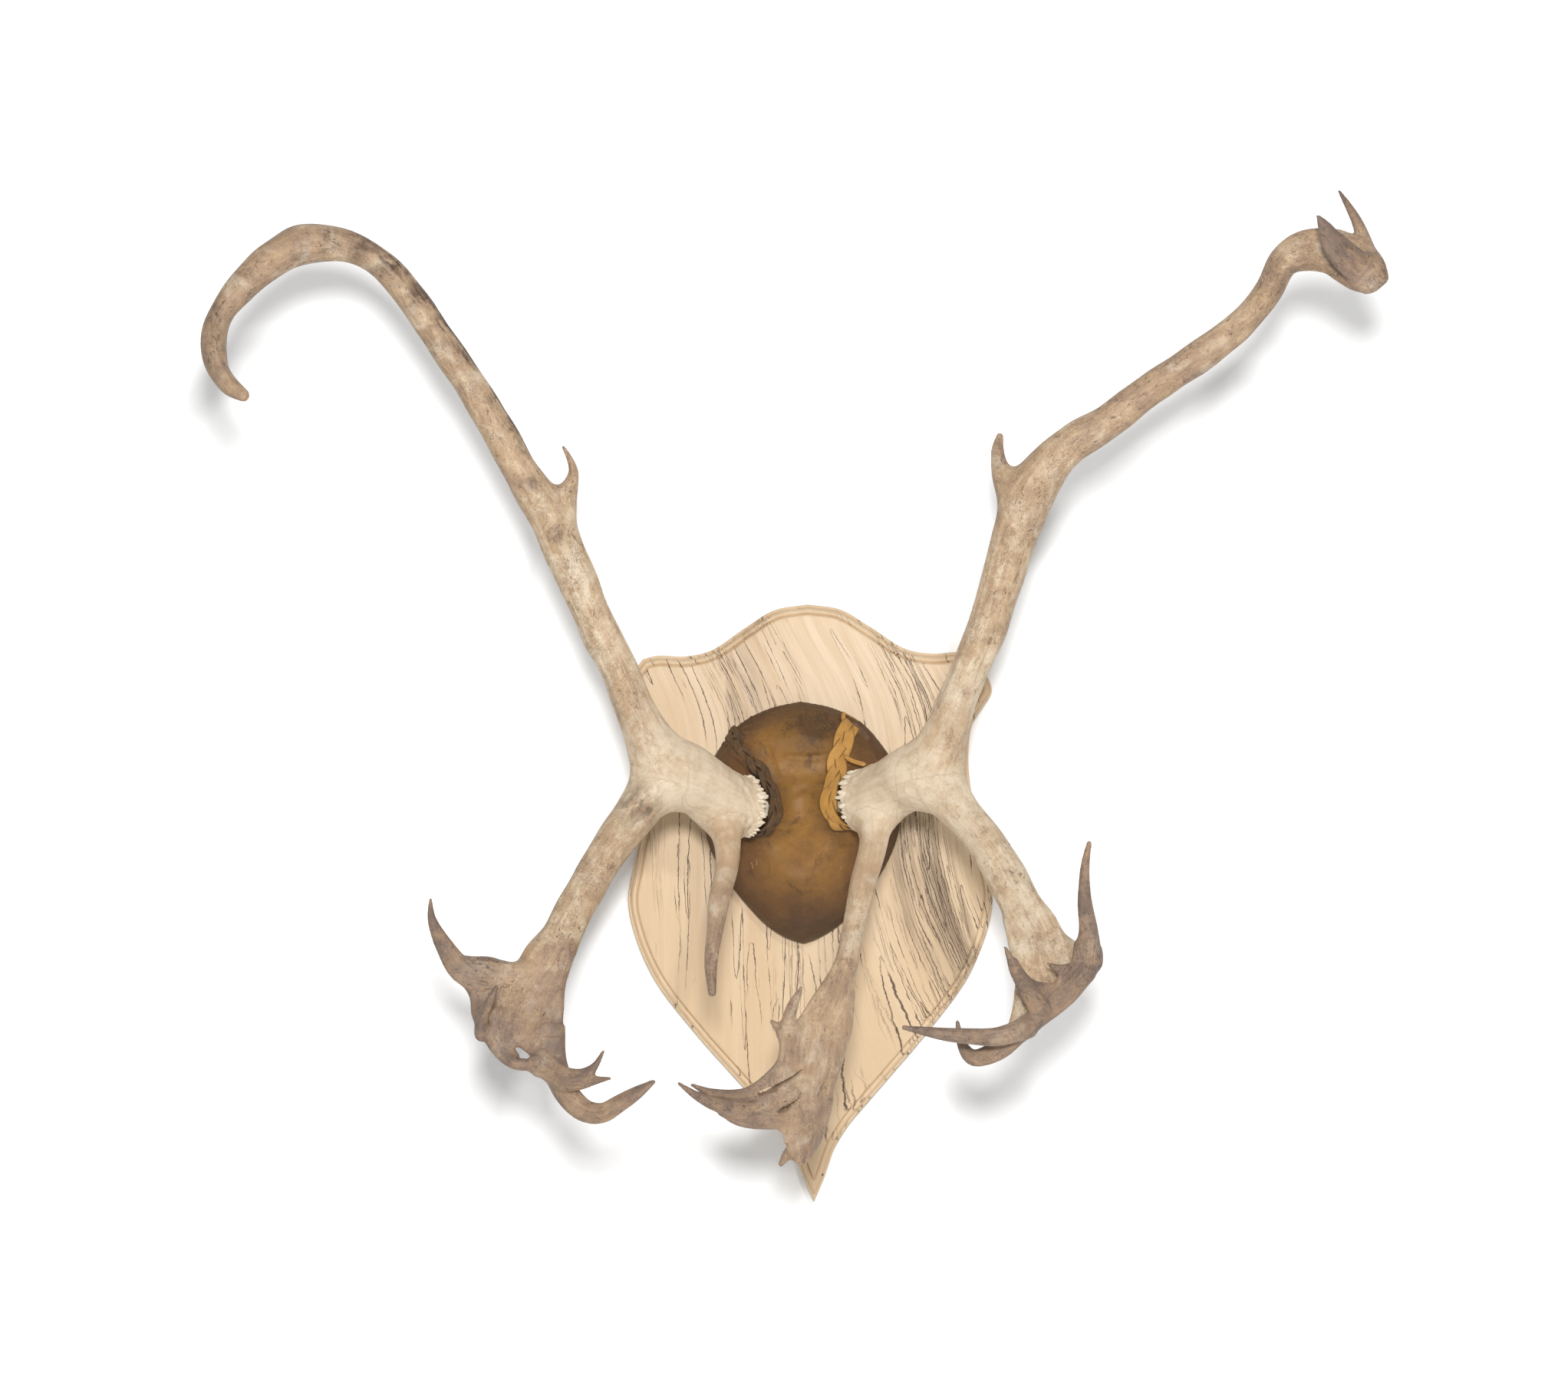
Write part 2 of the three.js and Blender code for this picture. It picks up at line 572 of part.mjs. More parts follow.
// A countersunk screw that points away from the wall, grown on all sides by the given amount.
function screwAt(x, z, grow, size = SCREW) {
  const { headRadius, headLength, shankRadius, length, sunk } = size;
  const top = grow > 0 ? -1 : sunk; // a hole is open behind the wall plane
  const profile = [
    [top, headRadius + grow],
    [sunk + SCREW_RIM, headRadius + grow],
    [sunk + headLength, shankRadius + grow],
    [length - SCREW_TIP.length + grow, shankRadius + grow],
    [length + grow, SCREW_TIP.radius + grow],
  ];
  return turned([x, 0, z], new THREE.Vector3(0, -1, 0), profile, SCREW_SIDES);
}

function hangerScrew(z, grow) {
  return screwAt(0, HANGER.z + z, grow, {
    headRadius: HANGER.screwHeadRadius,
    headLength: HANGER.thickness,
    shankRadius: HANGER.screwShankRadius,
    length: HANGER.screwLength,
    sunk: HANGER.sunk,
  });
}

function hangerScrews(grow) {
  return [hangerScrew(HANGER.screwZ, grow), hangerScrew(-HANGER.screwZ, grow)];
}

// A box centred on the hanger, between two depths in front of the wall.
function hangerBox(width, height, back, front) {
  const box = new THREE.BoxGeometry(width, front - back, height);
  box.translate(0, -(front + back) / 2, HANGER.z);
  return solid(box);
}

function keyhole() {
  const { entryRadius, entryZ, slotWidth, slotTop } = HANGER;
  const half = slotWidth / 2;
  const meets = Math.asin(half / entryRadius);
  const shape = new THREE.Shape();
  shape.absarc(0, slotTop - half, half, 0, Math.PI);
  shape.absarc(0, entryZ, entryRadius, Math.PI / 2 + meets, 2.5 * Math.PI - meets);
  const outline = shape.getPoints(HANGER.arcSteps).map((p) => new THREE.Vector2(p.x, p.y + HANGER.z));
  return plate(outline, -1, HANGER.thickness + 1);
}

function hangerPlate() {
  const { width, height, thickness, sunk } = HANGER;
  const blank = hangerBox(width, height, sunk, sunk + thickness);
  return cut(blank, [keyhole(), ...hangerScrews(GAP)]);
}

function shield() {
  const { width, height, thickness, sunk, pocket } = HANGER;
  const recess = hangerBox(width + 2 * GAP, height + 2 * GAP, -1, sunk + thickness + GAP);
  const well = hangerBox(pocket.width, pocket.height, -1, pocket.depth);
  const screws = Object.values(SKULL_SCREWS).map(([x, z]) => screwAt(x, z, GAP));
  return cut(shieldBlank(), [recess, well, ...screws, ...hangerScrews(GAP)]);
}

const antlerBone = new THREE.MeshStandardMaterial({ color: 0xb8a184, roughness: 0.75 });
const wood = new THREE.MeshStandardMaterial({ color: 0xe8c9a0, roughness: 0.6 });
const leather = new THREE.MeshStandardMaterial({ color: 0x7a5a2c, roughness: 0.55 });
const braidLeather = new THREE.MeshStandardMaterial({ color: 0xa57b42, roughness: 0.55 });
const bone = new THREE.MeshStandardMaterial({ color: 0xdccfb4, roughness: 0.8 });
const steel = new THREE.MeshStandardMaterial({ color: 0xb0b0ad, roughness: 0.35, metalness: 1 });

const trophy = new THREE.Group();

function add(name, body, material) {
  const mesh = new THREE.Mesh(geometryOf(body), material);
  mesh.name = name;
  trophy.add(mesh);
}

const left = leftAntler();
const right = rightAntler();
add("shield", shield(), wood);
add("skull_plate", skullPlate(), bone);
add("leather_cover", leatherCover(), leather);
add("left_braid", braid(LEFT_BURR, -1), braidLeather);
add("right_braid", braid(RIGHT_BURR, 1), braidLeather);
add("left_beam", left.beam, antlerBone);
add("left_bez_palm", left.bez, antlerBone);
add("left_brow_tine", left.brow, antlerBone);
add("right_beam", right.beam, antlerBone);
add("right_bez_palm", right.bez, antlerBone);
add("right_brow_shovel", right.brow, antlerBone);
for (const [place, [x, z]] of Object.entries(SKULL_SCREWS)) {
  add(`skull_screw_${place}`, screwAt(x, z, 0), steel);
}
add("hanger_plate", hangerPlate(), steel);
add("hanger_screw_upper", hangerScrew(HANGER.screwZ, 0), steel);
add("hanger_screw_lower", hangerScrew(-HANGER.screwZ, 0), steel);

export default trophy;
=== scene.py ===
import itertools
import math

import bmesh
import bpy
import numpy as np
from mathutils import Matrix, Vector


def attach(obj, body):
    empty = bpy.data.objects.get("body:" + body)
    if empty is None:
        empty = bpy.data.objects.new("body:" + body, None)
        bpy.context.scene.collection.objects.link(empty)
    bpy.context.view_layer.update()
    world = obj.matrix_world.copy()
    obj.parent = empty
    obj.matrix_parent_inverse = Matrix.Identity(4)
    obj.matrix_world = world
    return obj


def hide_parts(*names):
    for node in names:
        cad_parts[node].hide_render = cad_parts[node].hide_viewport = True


# A caribou antler trophy: bone antlers on a leather-covered skull plate, hung on a maple shield.
# Lengths in the tables are millimetres in the part's own frame; meshes are made in metres.
# The wall is the plane y = 0, the front looks towards -Y, +X is right and +Z is up.

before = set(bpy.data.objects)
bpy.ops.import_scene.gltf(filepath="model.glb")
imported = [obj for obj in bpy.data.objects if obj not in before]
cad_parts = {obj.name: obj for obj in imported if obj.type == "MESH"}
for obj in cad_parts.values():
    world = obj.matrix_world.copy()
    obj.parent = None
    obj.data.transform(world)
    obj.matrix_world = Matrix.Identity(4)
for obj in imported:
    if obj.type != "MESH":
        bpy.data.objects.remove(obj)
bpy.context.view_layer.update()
mm = 0.001
print("frame loaded,", len(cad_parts), "nodes")


def unit(vector):
    return vector / np.linalg.norm(vector, axis=-1, keepdims=True)


def smoothStep(low, high, value):
    share = np.clip((value - low) / (high - low), 0, 1)
    return share * share * (3 - 2 * share)


def splineAt(points, along, width=3):
    # centripetal Catmull-Rom through the rows; the first `width` columns set the pace
    points = np.asarray(points, float)
    count = len(points)
    k = np.clip(np.floor(along).astype(int), 0, count - 2)
    w = (along - k)[:, None]
    ends = np.vstack([2 * points[0] - points[1], points, 2 * points[-1] - points[-2]])
    p0, p1, p2, p3 = ends[k], ends[k + 1], ends[k + 2], ends[k + 3]
    gap = lambda a, b: np.maximum(np.linalg.norm((b - a)[:, :width], axis=1), 1e-6)[:, None] ** 0.5
    d0, d1, d2 = gap(p0, p1), gap(p1, p2), gap(p2, p3)
    t1 = ((p1 - p0) / d0 - (p2 - p0) / (d0 + d1) + (p2 - p1) / d1) * d1
    t2 = ((p2 - p1) / d1 - (p3 - p1) / (d1 + d2) + (p3 - p2) / d2) * d1
    w2, w3 = w * w, w * w * w
    return (2 * w3 - 3 * w2 + 1) * p1 + (w3 - 2 * w2 + w) * t1 + (3 * w2 - 2 * w3) * p2 + (w3 - w2) * t2


def vertexNormals(points, faces):
    faces = np.asarray(faces)
    a, b, c, d = (points[faces[:, i]] for i in range(4))
    facing = np.cross(c - a, d - b)
    normals = np.zeros_like(points)
    for i in range(4):
        np.add.at(normals, faces[:, i], facing)
    return normals / np.maximum(np.linalg.norm(normals, axis=1, keepdims=True), 1e-12)


def lengthAlong(line):
    return np.concatenate([[0], np.cumsum(np.linalg.norm(np.diff(line, axis=0), axis=1))])


def addObject(name, data):
    item = bpy.data.objects.new(name, data)
    bpy.context.scene.collection.objects.link(item)
    return item


def placeMesh(name, mesh, material, replaced):
    mesh.materials.clear()
    mesh.materials.append(material)
    piece = addObject(name, mesh)
    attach(piece, "root")
    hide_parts(*replaced)


def newPiece(name, points, faces, material, replaced, attributes):
    # a smooth mesh from points in millimetres; each attribute holds a value or a vector for each point
    mesh = bpy.data.meshes.new(name)
    mesh.from_pydata((points * mm).tolist(), [], faces)
    mesh.polygons.foreach_set("use_smooth", [True] * len(mesh.polygons))
    for key, values in attributes.items():
        isVector = values.ndim == 2
        layer = mesh.attributes.new(key, "FLOAT_VECTOR" if isVector else "FLOAT", "POINT")
        layer.data.foreach_set("vector" if isVector else "value", values.astype(np.float32).ravel())
    mesh.update()
    placeMesh(name, mesh, material, replaced)


def newMaterial(name):
    # the node helpers below add to the newest material
    global tree
    material = bpy.data.materials.new(name)
    material.use_nodes = True
    tree = material.node_tree
    tree.nodes.clear()
    return material


def addNode(kind, sockets=None, **settings):
    node = tree.nodes.new(kind)
    for key, value in settings.items():
        setattr(node, key, value)
    for key, value in (sockets or {}).items():
        if isinstance(value, bpy.types.NodeSocket):
            tree.links.new(value, node.inputs[key])
        else:
            node.inputs[key].default_value = value
    return node


def objectCoords():
    return addNode("ShaderNodeTexCoord").outputs["Object"]


def pieceValue(name, kind="Fac"):
    return addNode("ShaderNodeAttribute", attribute_name=name).outputs[kind]


def scaled(vector, scale, turn=(0, 0, 0), shift=(0, 0, 0)):
    sockets = {"Vector": vector, "Scale": scale, "Rotation": turn, "Location": shift}
    return addNode("ShaderNodeMapping", sockets).outputs["Vector"]


def noiseOf(vector, scale, detail=4.0, rough=0.55, warp=0.0):
    sockets = {"Vector": vector, "Scale": scale, "Detail": detail, "Roughness": rough, "Distortion": warp}
    return addNode("ShaderNodeTexNoise", sockets).outputs["Fac"]


def spots(vector, scale):
    return addNode("ShaderNodeTexVoronoi", {"Vector": vector, "Scale": scale}).outputs["Distance"]


def maths(operation, first, second=0.0, clamp=False):
    return addNode("ShaderNodeMath", {0: first, 1: second}, operation=operation, use_clamp=clamp).outputs[0]


def times(first, *others, clamp=False):
    for other in others:
        first = maths("MULTIPLY", first, other, clamp=clamp)
    return first


def plus(first, *others):
    for other in others:
        first = maths("ADD", first, other)
    return first


def minus(first, second):
    return maths("SUBTRACT", first, second)


def larger(first, *others):
    for other in others:
        first = maths("MAXIMUM", first, other)
    return first


def sizeOf(value):
    return maths("ABSOLUTE", value)


def distanceTo(vector, place):
    return addNode("ShaderNodeVectorMath", {0: vector, 1: place}, operation="DISTANCE").outputs["Value"]


def axesOf(vector):
    return [addNode("ShaderNodeSeparateXYZ", {"Vector": vector}).outputs[key] for key in "XYZ"]


def vectorOf(x, y, z):
    return addNode("ShaderNodeCombineXYZ", {"X": x, "Y": y, "Z": z}).outputs[0]


def fit(value, low, high, toLow=0.0, toHigh=1.0, smooth=False):
    sockets = {"Value": value, "From Min": low, "From Max": high, "To Min": toLow, "To Max": toHigh}
    kind = "SMOOTHSTEP" if smooth else "LINEAR"
    return addNode("ShaderNodeMapRange", sockets, interpolation_type=kind).outputs["Result"]


def soft(value, low, high, most=1.0):
    # eases from 0 at low to most at high
    return fit(value, low, high, 0.0, most, True)


def ranged(noise, low, high):
    # a noise, which lies mostly between 0.3 and 0.7, spread from low to high
    return fit(noise, 0.3, 0.7, low, high)


def contours(noise, width, most):
    # thin lines where the noise passes its middle value
    return fit(sizeOf(minus(noise, 0.5)), 0.0, width, most, 0.0, True)


def blendColour(share, first, second):
    node = addNode("ShaderNodeMix", data_type="RGBA")
    for socket, value in ((node.inputs[0], share), (node.inputs[6], first), (node.inputs[7], second)):
        if isinstance(value, bpy.types.NodeSocket):
            tree.links.new(value, socket)
        else:
            socket.default_value = value if isinstance(value, float) else (*value, 1.0)
    return node.outputs[2]


def rampOf(value, stops):
    node = addNode("ShaderNodeValToRGB", {"Fac": value})
    ramp = node.color_ramp
    while len(ramp.elements) < len(stops):
        ramp.elements.new(0.5)
    for element, (place, colour) in zip(ramp.elements, stops):
        element.position = place
        element.color = (*colour, 1.0)
    return node.outputs["Color"]


def bumpOf(height, strength, distance, under=None):
    sockets = {"Height": height, "Strength": strength, "Distance": distance}
    if under is not None:
        sockets["Normal"] = under
    return addNode("ShaderNodeBump", sockets).outputs["Normal"]


def shaderOf(colour, roughness, normal, specular=0.5, metallic=0.0):
    sockets = {"Base Color": colour, "Roughness": roughness, "Normal": normal}
    shader = addNode("ShaderNodeBsdfPrincipled", sockets)
    shader.inputs["Specular IOR Level"].default_value = specular
    shader.inputs["Metallic"].default_value = metallic
    addNode("ShaderNodeOutputMaterial", {"Surface": shader.outputs[0]})


skinValues = {
    "cell": 1.6,  # grid pitch of the bone skins
    "leatherCell": 1.25,
    "far": 40.0,  # the distance noted where no limb is near
    "thinnest": 1.2,  # least half width of a limb
    "margin": 44,  # room left round the limbs
}


def newField(low, high, cell):
    low = np.asarray(low, float)
    counts = np.ceil((np.asarray(high, float) - low) / cell).astype(int) + 1
    return {"low": low, "cell": cell, "values": np.full(counts, skinValues["far"], np.float32)}


def window(field, low, high):
    # the part of the grid between two corners, as slices and coordinates
    start = np.clip(np.floor((low - field["low"]) / field["cell"]).astype(int), 0, None)
    stop = np.minimum(np.ceil((high - field["low"]) / field["cell"]).astype(int) + 1, field["values"].shape)
    slices = tuple(slice(a, b) for a, b in zip(start, stop))
    x, y, z = (
        (field["low"][i] + field["cell"] * np.arange(start[i], max(stop[i], start[i]))).astype(np.float32)
        for i in range(3)
    )
    return slices, x[:, None, None], y[None, :, None], z[None, None, :]


def unite(first, second, blend):
    # smooth union of two distance fields
    if blend <= 0:
        return np.minimum(first, second)
    h = np.maximum(blend - np.abs(first - second), 0) / blend
    return np.minimum(first, second) - h * h * (blend / 4)


def limbOf(stations, facing=(0, -1, 0), step=4.0, tone=(0.3, 0.6)):
    # samples a limb's stations into close rings: centre, frame, half width and half thickness
    rows = np.array([list(s) + [s[3]] * (5 - len(s)) for s in stations], float)
    fine = splineAt(rows, np.linspace(0, len(rows) - 1, 40 * len(rows)))
    length = lengthAlong(fine[:, :3])
    count = max(int(length[-1] / step), 3) + 1
    spaced = np.interp(np.linspace(0, length[-1], count), length, np.linspace(0, len(rows) - 1, len(fine)))
    rings = splineAt(rows, spaced)
    centre = rings[:, :3]
    tangent = unit(np.gradient(centre, axis=0))
    facing = np.asarray(facing, float)
    flat = unit(facing[None, :] - tangent * (tangent @ facing)[:, None])
    return {
        "centre": centre,
        "tangent": tangent,
        "flat": flat,
        "across": np.cross(flat, tangent),
        "wide": np.maximum(rings[:, 3], skinValues["thinnest"]),
        "thick": np.maximum(rings[:, 4], skinValues["thinnest"]),
        "arc": np.linspace(0, length[-1], count),
        "tone": tone,
    }


def limbDistance(field, limb, margin):
    # the distance to a limb in the grid cells round it
    reach = limb["wide"].max() + margin
    slices, *_ = window(field, limb["centre"].min(0) - reach, limb["centre"].max(0) + reach)
    local = {"low": field["low"] + field["cell"] * np.array([s.start for s in slices]), "cell": field["cell"]}
    local["values"] = np.full([s.stop - s.start for s in slices], skinValues["far"], np.float32)
    centre, wide, thick = limb["centre"], limb["wide"], limb["thick"]
    for i in range(len(centre) - 1):
        p, q = centre[i], centre[i + 1]
        reach = max(wide[i], wide[i + 1]) + margin
        part, x, y, z = window(local, np.minimum(p, q) - reach, np.maximum(p, q) + reach)
        d = q - p
        px, py, pz = x - p[0], y - p[1], z - p[2]
        t = np.clip((px * d[0] + py * d[1] + pz * d[2]) / (d @ d), 0, 1)
        ox, oy, oz = px - t * d[0], py - t * d[1], pz - t * d[2]
        tangent, flat = unit(d), unit(limb["flat"][i] + limb["flat"][i + 1])
        flat = unit(flat - tangent * (flat @ tangent))
        across = np.cross(flat, tangent)
        a = wide[i] + (wide[i + 1] - wide[i]) * t
        b = thick[i] + (thick[i + 1] - thick[i]) * t
        u = (ox * across[0] + oy * across[1] + oz * across[2]) / a
        v = (ox * flat[0] + oy * flat[1] + oz * flat[2]) / b
        w = (ox * tangent[0] + oy * tangent[1] + oz * tangent[2]) / b
        near = np.sqrt(u * u + v * v + w * w)
        slope = np.sqrt((u / a) ** 2 + (v / b) ** 2 + (w / b) ** 2)
        distance = (near - 1) * np.where(slope > 1e-5, near / np.maximum(slope, 1e-5), b)
        np.minimum(local["values"][part], distance, out=local["values"][part])
    return slices, local["values"]


def addLimb(field, limb, blend):
    slices, distance = limbDistance(field, limb, blend + 4)
    field["values"][slices] = unite(field["values"][slices], distance, blend)


def closedSpline(outline):
    # a smooth closed line through the given points
    steps = 6
    corners = np.array(outline, float)
    looped = np.concatenate([corners[-2:], corners, corners[:3]])
    return splineAt(looped, np.arange(0, len(corners), 1 / steps) + 2, 2)


def outlineDistance(outline, x, z):
    # signed distance to a closed line, negative inside
    flatX, flatZ = np.broadcast_arrays(x, z)
    nearest = np.full(flatX.shape, 1e9)
    inside = np.zeros(flatX.shape, bool)
    for a, b in zip(outline, np.roll(outline, -1, axis=0)):
        d = b - a
        t = np.clip(((flatX - a[0]) * d[0] + (flatZ - a[1]) * d[1]) / max(d @ d, 1e-9), 0, 1)
        nearest = np.minimum(nearest, np.hypot(flatX - a[0] - t * d[0], flatZ - a[1] - t * d[1]))
        if a[1] != b[1]:
            crosses = (a[1] > flatZ) != (b[1] > flatZ)
            inside ^= crosses & (flatX < a[0] + (flatZ - a[1]) * d[0] / d[1])
    return np.where(inside, -nearest, nearest)


def plateDistance(plate, x, y, z, rim):
    # distance to a rounded plate on its sloping plane, and the height over that plane
    (ox, oy, oz), (slopeX, slopeZ) = plate["on"], plate["slope"]
    over = (y - oy - slopeX * (x - ox) - slopeZ * (z - oz)) / math.sqrt(1 + slopeX**2 + slopeZ**2)
    return np.sqrt(np.maximum(rim + plate["half"], 0) ** 2 + over**2) - plate["half"], over


def addPlate(field, plate):
    outline = closedSpline(plate["outline"])
    (ox, oy, oz), (slopeX, slopeZ) = plate["on"], plate["slope"]
    depths = oy + slopeX * (outline[:, 0] - ox) + slopeZ * (outline[:, 1] - oz)
    low = np.array([outline[:, 0].min(), depths.min(), outline[:, 1].min()]) - 16
    high = np.array([outline[:, 0].max(), depths.max(), outline[:, 1].max()]) + 16
    part, x, y, z = window(field, low, high)
    distance, _ = plateDistance(plate, x, y, z, outlineDistance(outline, x, z))
    field["values"][part] = unite(field["values"][part], distance, plate["blend"])


def cutSlit(field, stations):
    # takes a narrow opening out of the field
    slices, distance = limbDistance(field, limbOf(stations, (0, 0, 1), 2.0), 4)
    field["values"][slices] = -unite(-field["values"][slices], distance, 1.5)


def skinOf(field):
    # surface nets: one point in each cell the surface crosses, one quad on each crossed edge
    values = field["values"]
    inside = values < 0
    shape = np.array(values.shape) - 1
    corners = np.zeros(shape, np.int8)
    for i in range(8):
        dx, dy, dz = i & 1, i >> 1 & 1, i >> 2 & 1
        corners += inside[dx : shape[0] + dx, dy : shape[1] + dy, dz : shape[2] + dz]
    cells = np.argwhere((corners > 0) & (corners < 8))
    number = np.full(shape, -1, np.int32)
    number[tuple(cells.T)] = np.arange(len(cells))
    total = np.zeros((len(cells), 3))
    crossings = np.zeros((len(cells), 1))
    for i in range(8):
        for axis in range(3):
            start = np.array([i & 1, i >> 1 & 1, i >> 2 & 1])
            if start[axis]:
                continue
            end = start.copy()
            end[axis] = 1
            a = values[tuple((cells + start).T)].astype(float)
            b = values[tuple((cells + end).T)].astype(float)
            crossed = (a < 0) != (b < 0)
            t = np.where(crossed, a / np.where(crossed, a - b, 1), 0)
            place = start + np.outer(t, end - start)
            total += place * crossed[:, None]
            crossings += crossed[:, None]
    points = field["low"] + field["cell"] * (cells + total / crossings)
    quads = []
    for axis in range(3):
        second, third = (axis + 1) % 3, (axis + 2) % 3
        here = [slice(1, -1)] * 3
        there = [slice(1, -1)] * 3
        here[axis], there[axis] = slice(0, -1), slice(1, None)
        changed = inside[tuple(here)] != inside[tuple(there)]
        at = np.argwhere(changed) + 1
        at[:, axis] -= 1
        corner = np.zeros((4, 3), int)
        corner[0, second] = corner[0, third] = corner[1, third] = corner[3, second] = -1
        quad = np.stack([number[tuple((at + c).T)] for c in corner], axis=1)
        outward = inside[tuple(at.T)]
        quad[~outward] = quad[~outward][:, ::-1]
        quads.append(quad)
    return points, np.concatenate(quads)


def relaxed(points, quads):
    # moves each point half of the way to the middle of its neighbours
    total = np.zeros_like(points)
    count = np.zeros((len(points), 1))
    for i in range(4):
        np.add.at(total, quads[:, i], points[quads[:, (i + 1) % 4]])
        np.add.at(count, quads[:, i], 1)
    return points + (total / np.maximum(count, 1) - points) * 0.5


def rowsOf(text):
    # "1 2 3, 4 5 6" as rows of numbers
    return [[float(word) for word in row.split()] for row in text.split(",")]


def limbFrom(tone, blend, stations, facing=(0, -1, 0)):
    # tone from root to end, where 0 is pale bone and 1 grey-brown, and the fillet at the root;
    # each station is x, y, z, half width and half thickness, and the limb is smooth through all of them
    return {"tone": tone, "blend": blend, "stations": rowsOf(stations), "facing": facing}


leftAntler = {
    "cellShare": 1.0,
    "foot": (-56, -96, 90),
    "side": -1,
    "limbs": {
        "beam": limbFrom((0.02, 0.62), 0, """
            -56 -96 90 25, -72 -109 98 24, -97 -128 112 27 25, -126 -146 130 27 23, -144 -156 162 18.5,
            -164 -165 212 16, -183 -172 251 16, -204 -180 302 17.5, -222 -186 344 18, -249 -192 390 15,
            -274 -198 436 14.5, -303 -203 481 13.4, -334 -208 529 12.2, -360 -213 560 11.8,
            -384 -217 573 13, -408 -224 577 15.5, -430 -234 573 17, -450 -245 560 15.5, -470 -256 540 13,
            -487 -268 516 10.5, -493 -280 493 10.2, -488 -296 466 9.6, -476 -312 449 8, -463 -322 440 5
        """),
        "rear point": limbFrom((0.4, 0.6), 12, """
            -214 -188 350 14 10, -205 -184 368 7.5, -201 -180 383 4.2, -205 -177 396 2.6, -210 -175 405 1.6
        """),
        "bez tine and palm": limbFrom((0.05, 0.5), 20, """
            -118 -140 120 22, -142 -153 100 20, -157 -168 80 18.5 16, -177 -190 52 16.5 14,
            -197 -214 18 16.5 13, -212 -237 -12 17 12, -225 -253 -34 22 9, -236 -266 -58 22 7,
            -238 -280 -82 17 5.5, -229 -290 -102 12 5, -224 -298 -120 10 5
        """),
        "upper spike of the palm": limbFrom((0.7, 0.9), 7, """
            -238 -263 -50 17 5, -270 -268 -46 15 5, -293 -271 -38 12 5, -307 -276 -18 8 5, -317 -284 6 4,
            -317 -292 23 1.6
        """),
        "loop at the lower corner": limbFrom((0.7, 0.9), 4, """
            -270 -281 -74 12 5, -268 -287 -90 8 5, -261 -293 -105 5, -247 -298 -114 5, -230 -301 -113 6
        """),
        "spike on the front": limbFrom((0.95, 1.05), 3, """
            -276 -284 -90 6.5, -274 -299 -73 5.2, -267 -311 -60 4, -261 -319 -48 2
        """),
        "fill at the left end of the eye hole": limbFrom((0.7, 0.8), 4, """
            -259 -288 -101 5, -253 -290.5 -105 5, -248 -292.5 -108 3.4
        """),
        "forked point, upper prong": limbFrom((0.7, 1), 5, """
            -229 -298 -112 10 6, -207 -310 -125 9.5 6, -192 -318 -123 7 5, -181 -326 -114 3.4,
            -173 -334 -101 1.6
        """),
        "forked point, lower prong": limbFrom((0.7, 1), 3, """
            -207 -310 -126 9 6, -192 -318 -126 7 5, -179 -326 -125 3.4, -168 -332 -123 1.6
        """),
        "long lowest point": limbFrom((0.7, 1), 5, """
            -221 -286 -88 14 6, -216 -295 -116 11.5 6, -206 -303 -138 10 6, -191 -311 -152 9.5 6,
            -175 -320 -153 8.5 5.5, -160 -328 -144 7.4 5.5, -145 -336 -134 5.4, -132 -344 -125 2.3
        """),
        "brow tine": limbFrom((0.1, 0.72), 18, """
            -82 -112 94 20, -75 -122 76 15, -73 -136 58 11, -74 -152 38 9, -80 -176 12 9, -84 -198 -15 7.2,
            -87 -214 -40 5.4, -86 -227 -63 3.6
        """),
    },
    # A palm is a sloping plate: its outline as x and z, a point of its middle plane, how much y changes
    # with x and with z, its half thickness, and the way its grain runs in x and z.
    "plates": {
        "palm": {
            "tone": 0.78, "blend": 6, "on": (-240, -268, -60), "slope": (0, 0.56),
            "half": 4.3, "grain": (-0.4, -0.9),
            "outline": rowsOf("""
                -225 -19, -239 -29, -251 -32, -272 -29, -290 -28, -301 -25, -310 -30, -304 -41, -294 -51,
                -289 -61, -286 -75, -279 -86, -268 -94, -258 -99, -248 -99, -237 -104, -229 -111, -220 -122,
                -208 -119, -210 -107, -210 -90, -209 -72, -208 -54, -206 -39, -200 -23
            """),
        },
    },
    # openings cut right through: x, y, z, half depth, half width
    "slits": [
        rowsOf("""
            -246 -292 -103 16 0.8, -241 -294 -106 16 1.3, -236 -296 -109.2 16 0.8
        """),
    ],
    # soft dark stains: x, y, z, radius, strength
    "stains": rowsOf("""
        -376 -215 577 22 0.6, -350 -208 562 24 1.0, -326 -204 534 22 1.0, -306 -202 506 20 1.0,
        -290 -199 482 19 0.9, -266 -196 446 17 0.95, -254 -195 424 16 0.95, -243 -194 404 14 0.8,
        -236 -204 372 8 0.4, -228 -206 352 8 0.4, -214 -202 330 10 0.4, -146 -182 96 24 0.5,
        -205 -262 -10 16 0.4
    """),
}


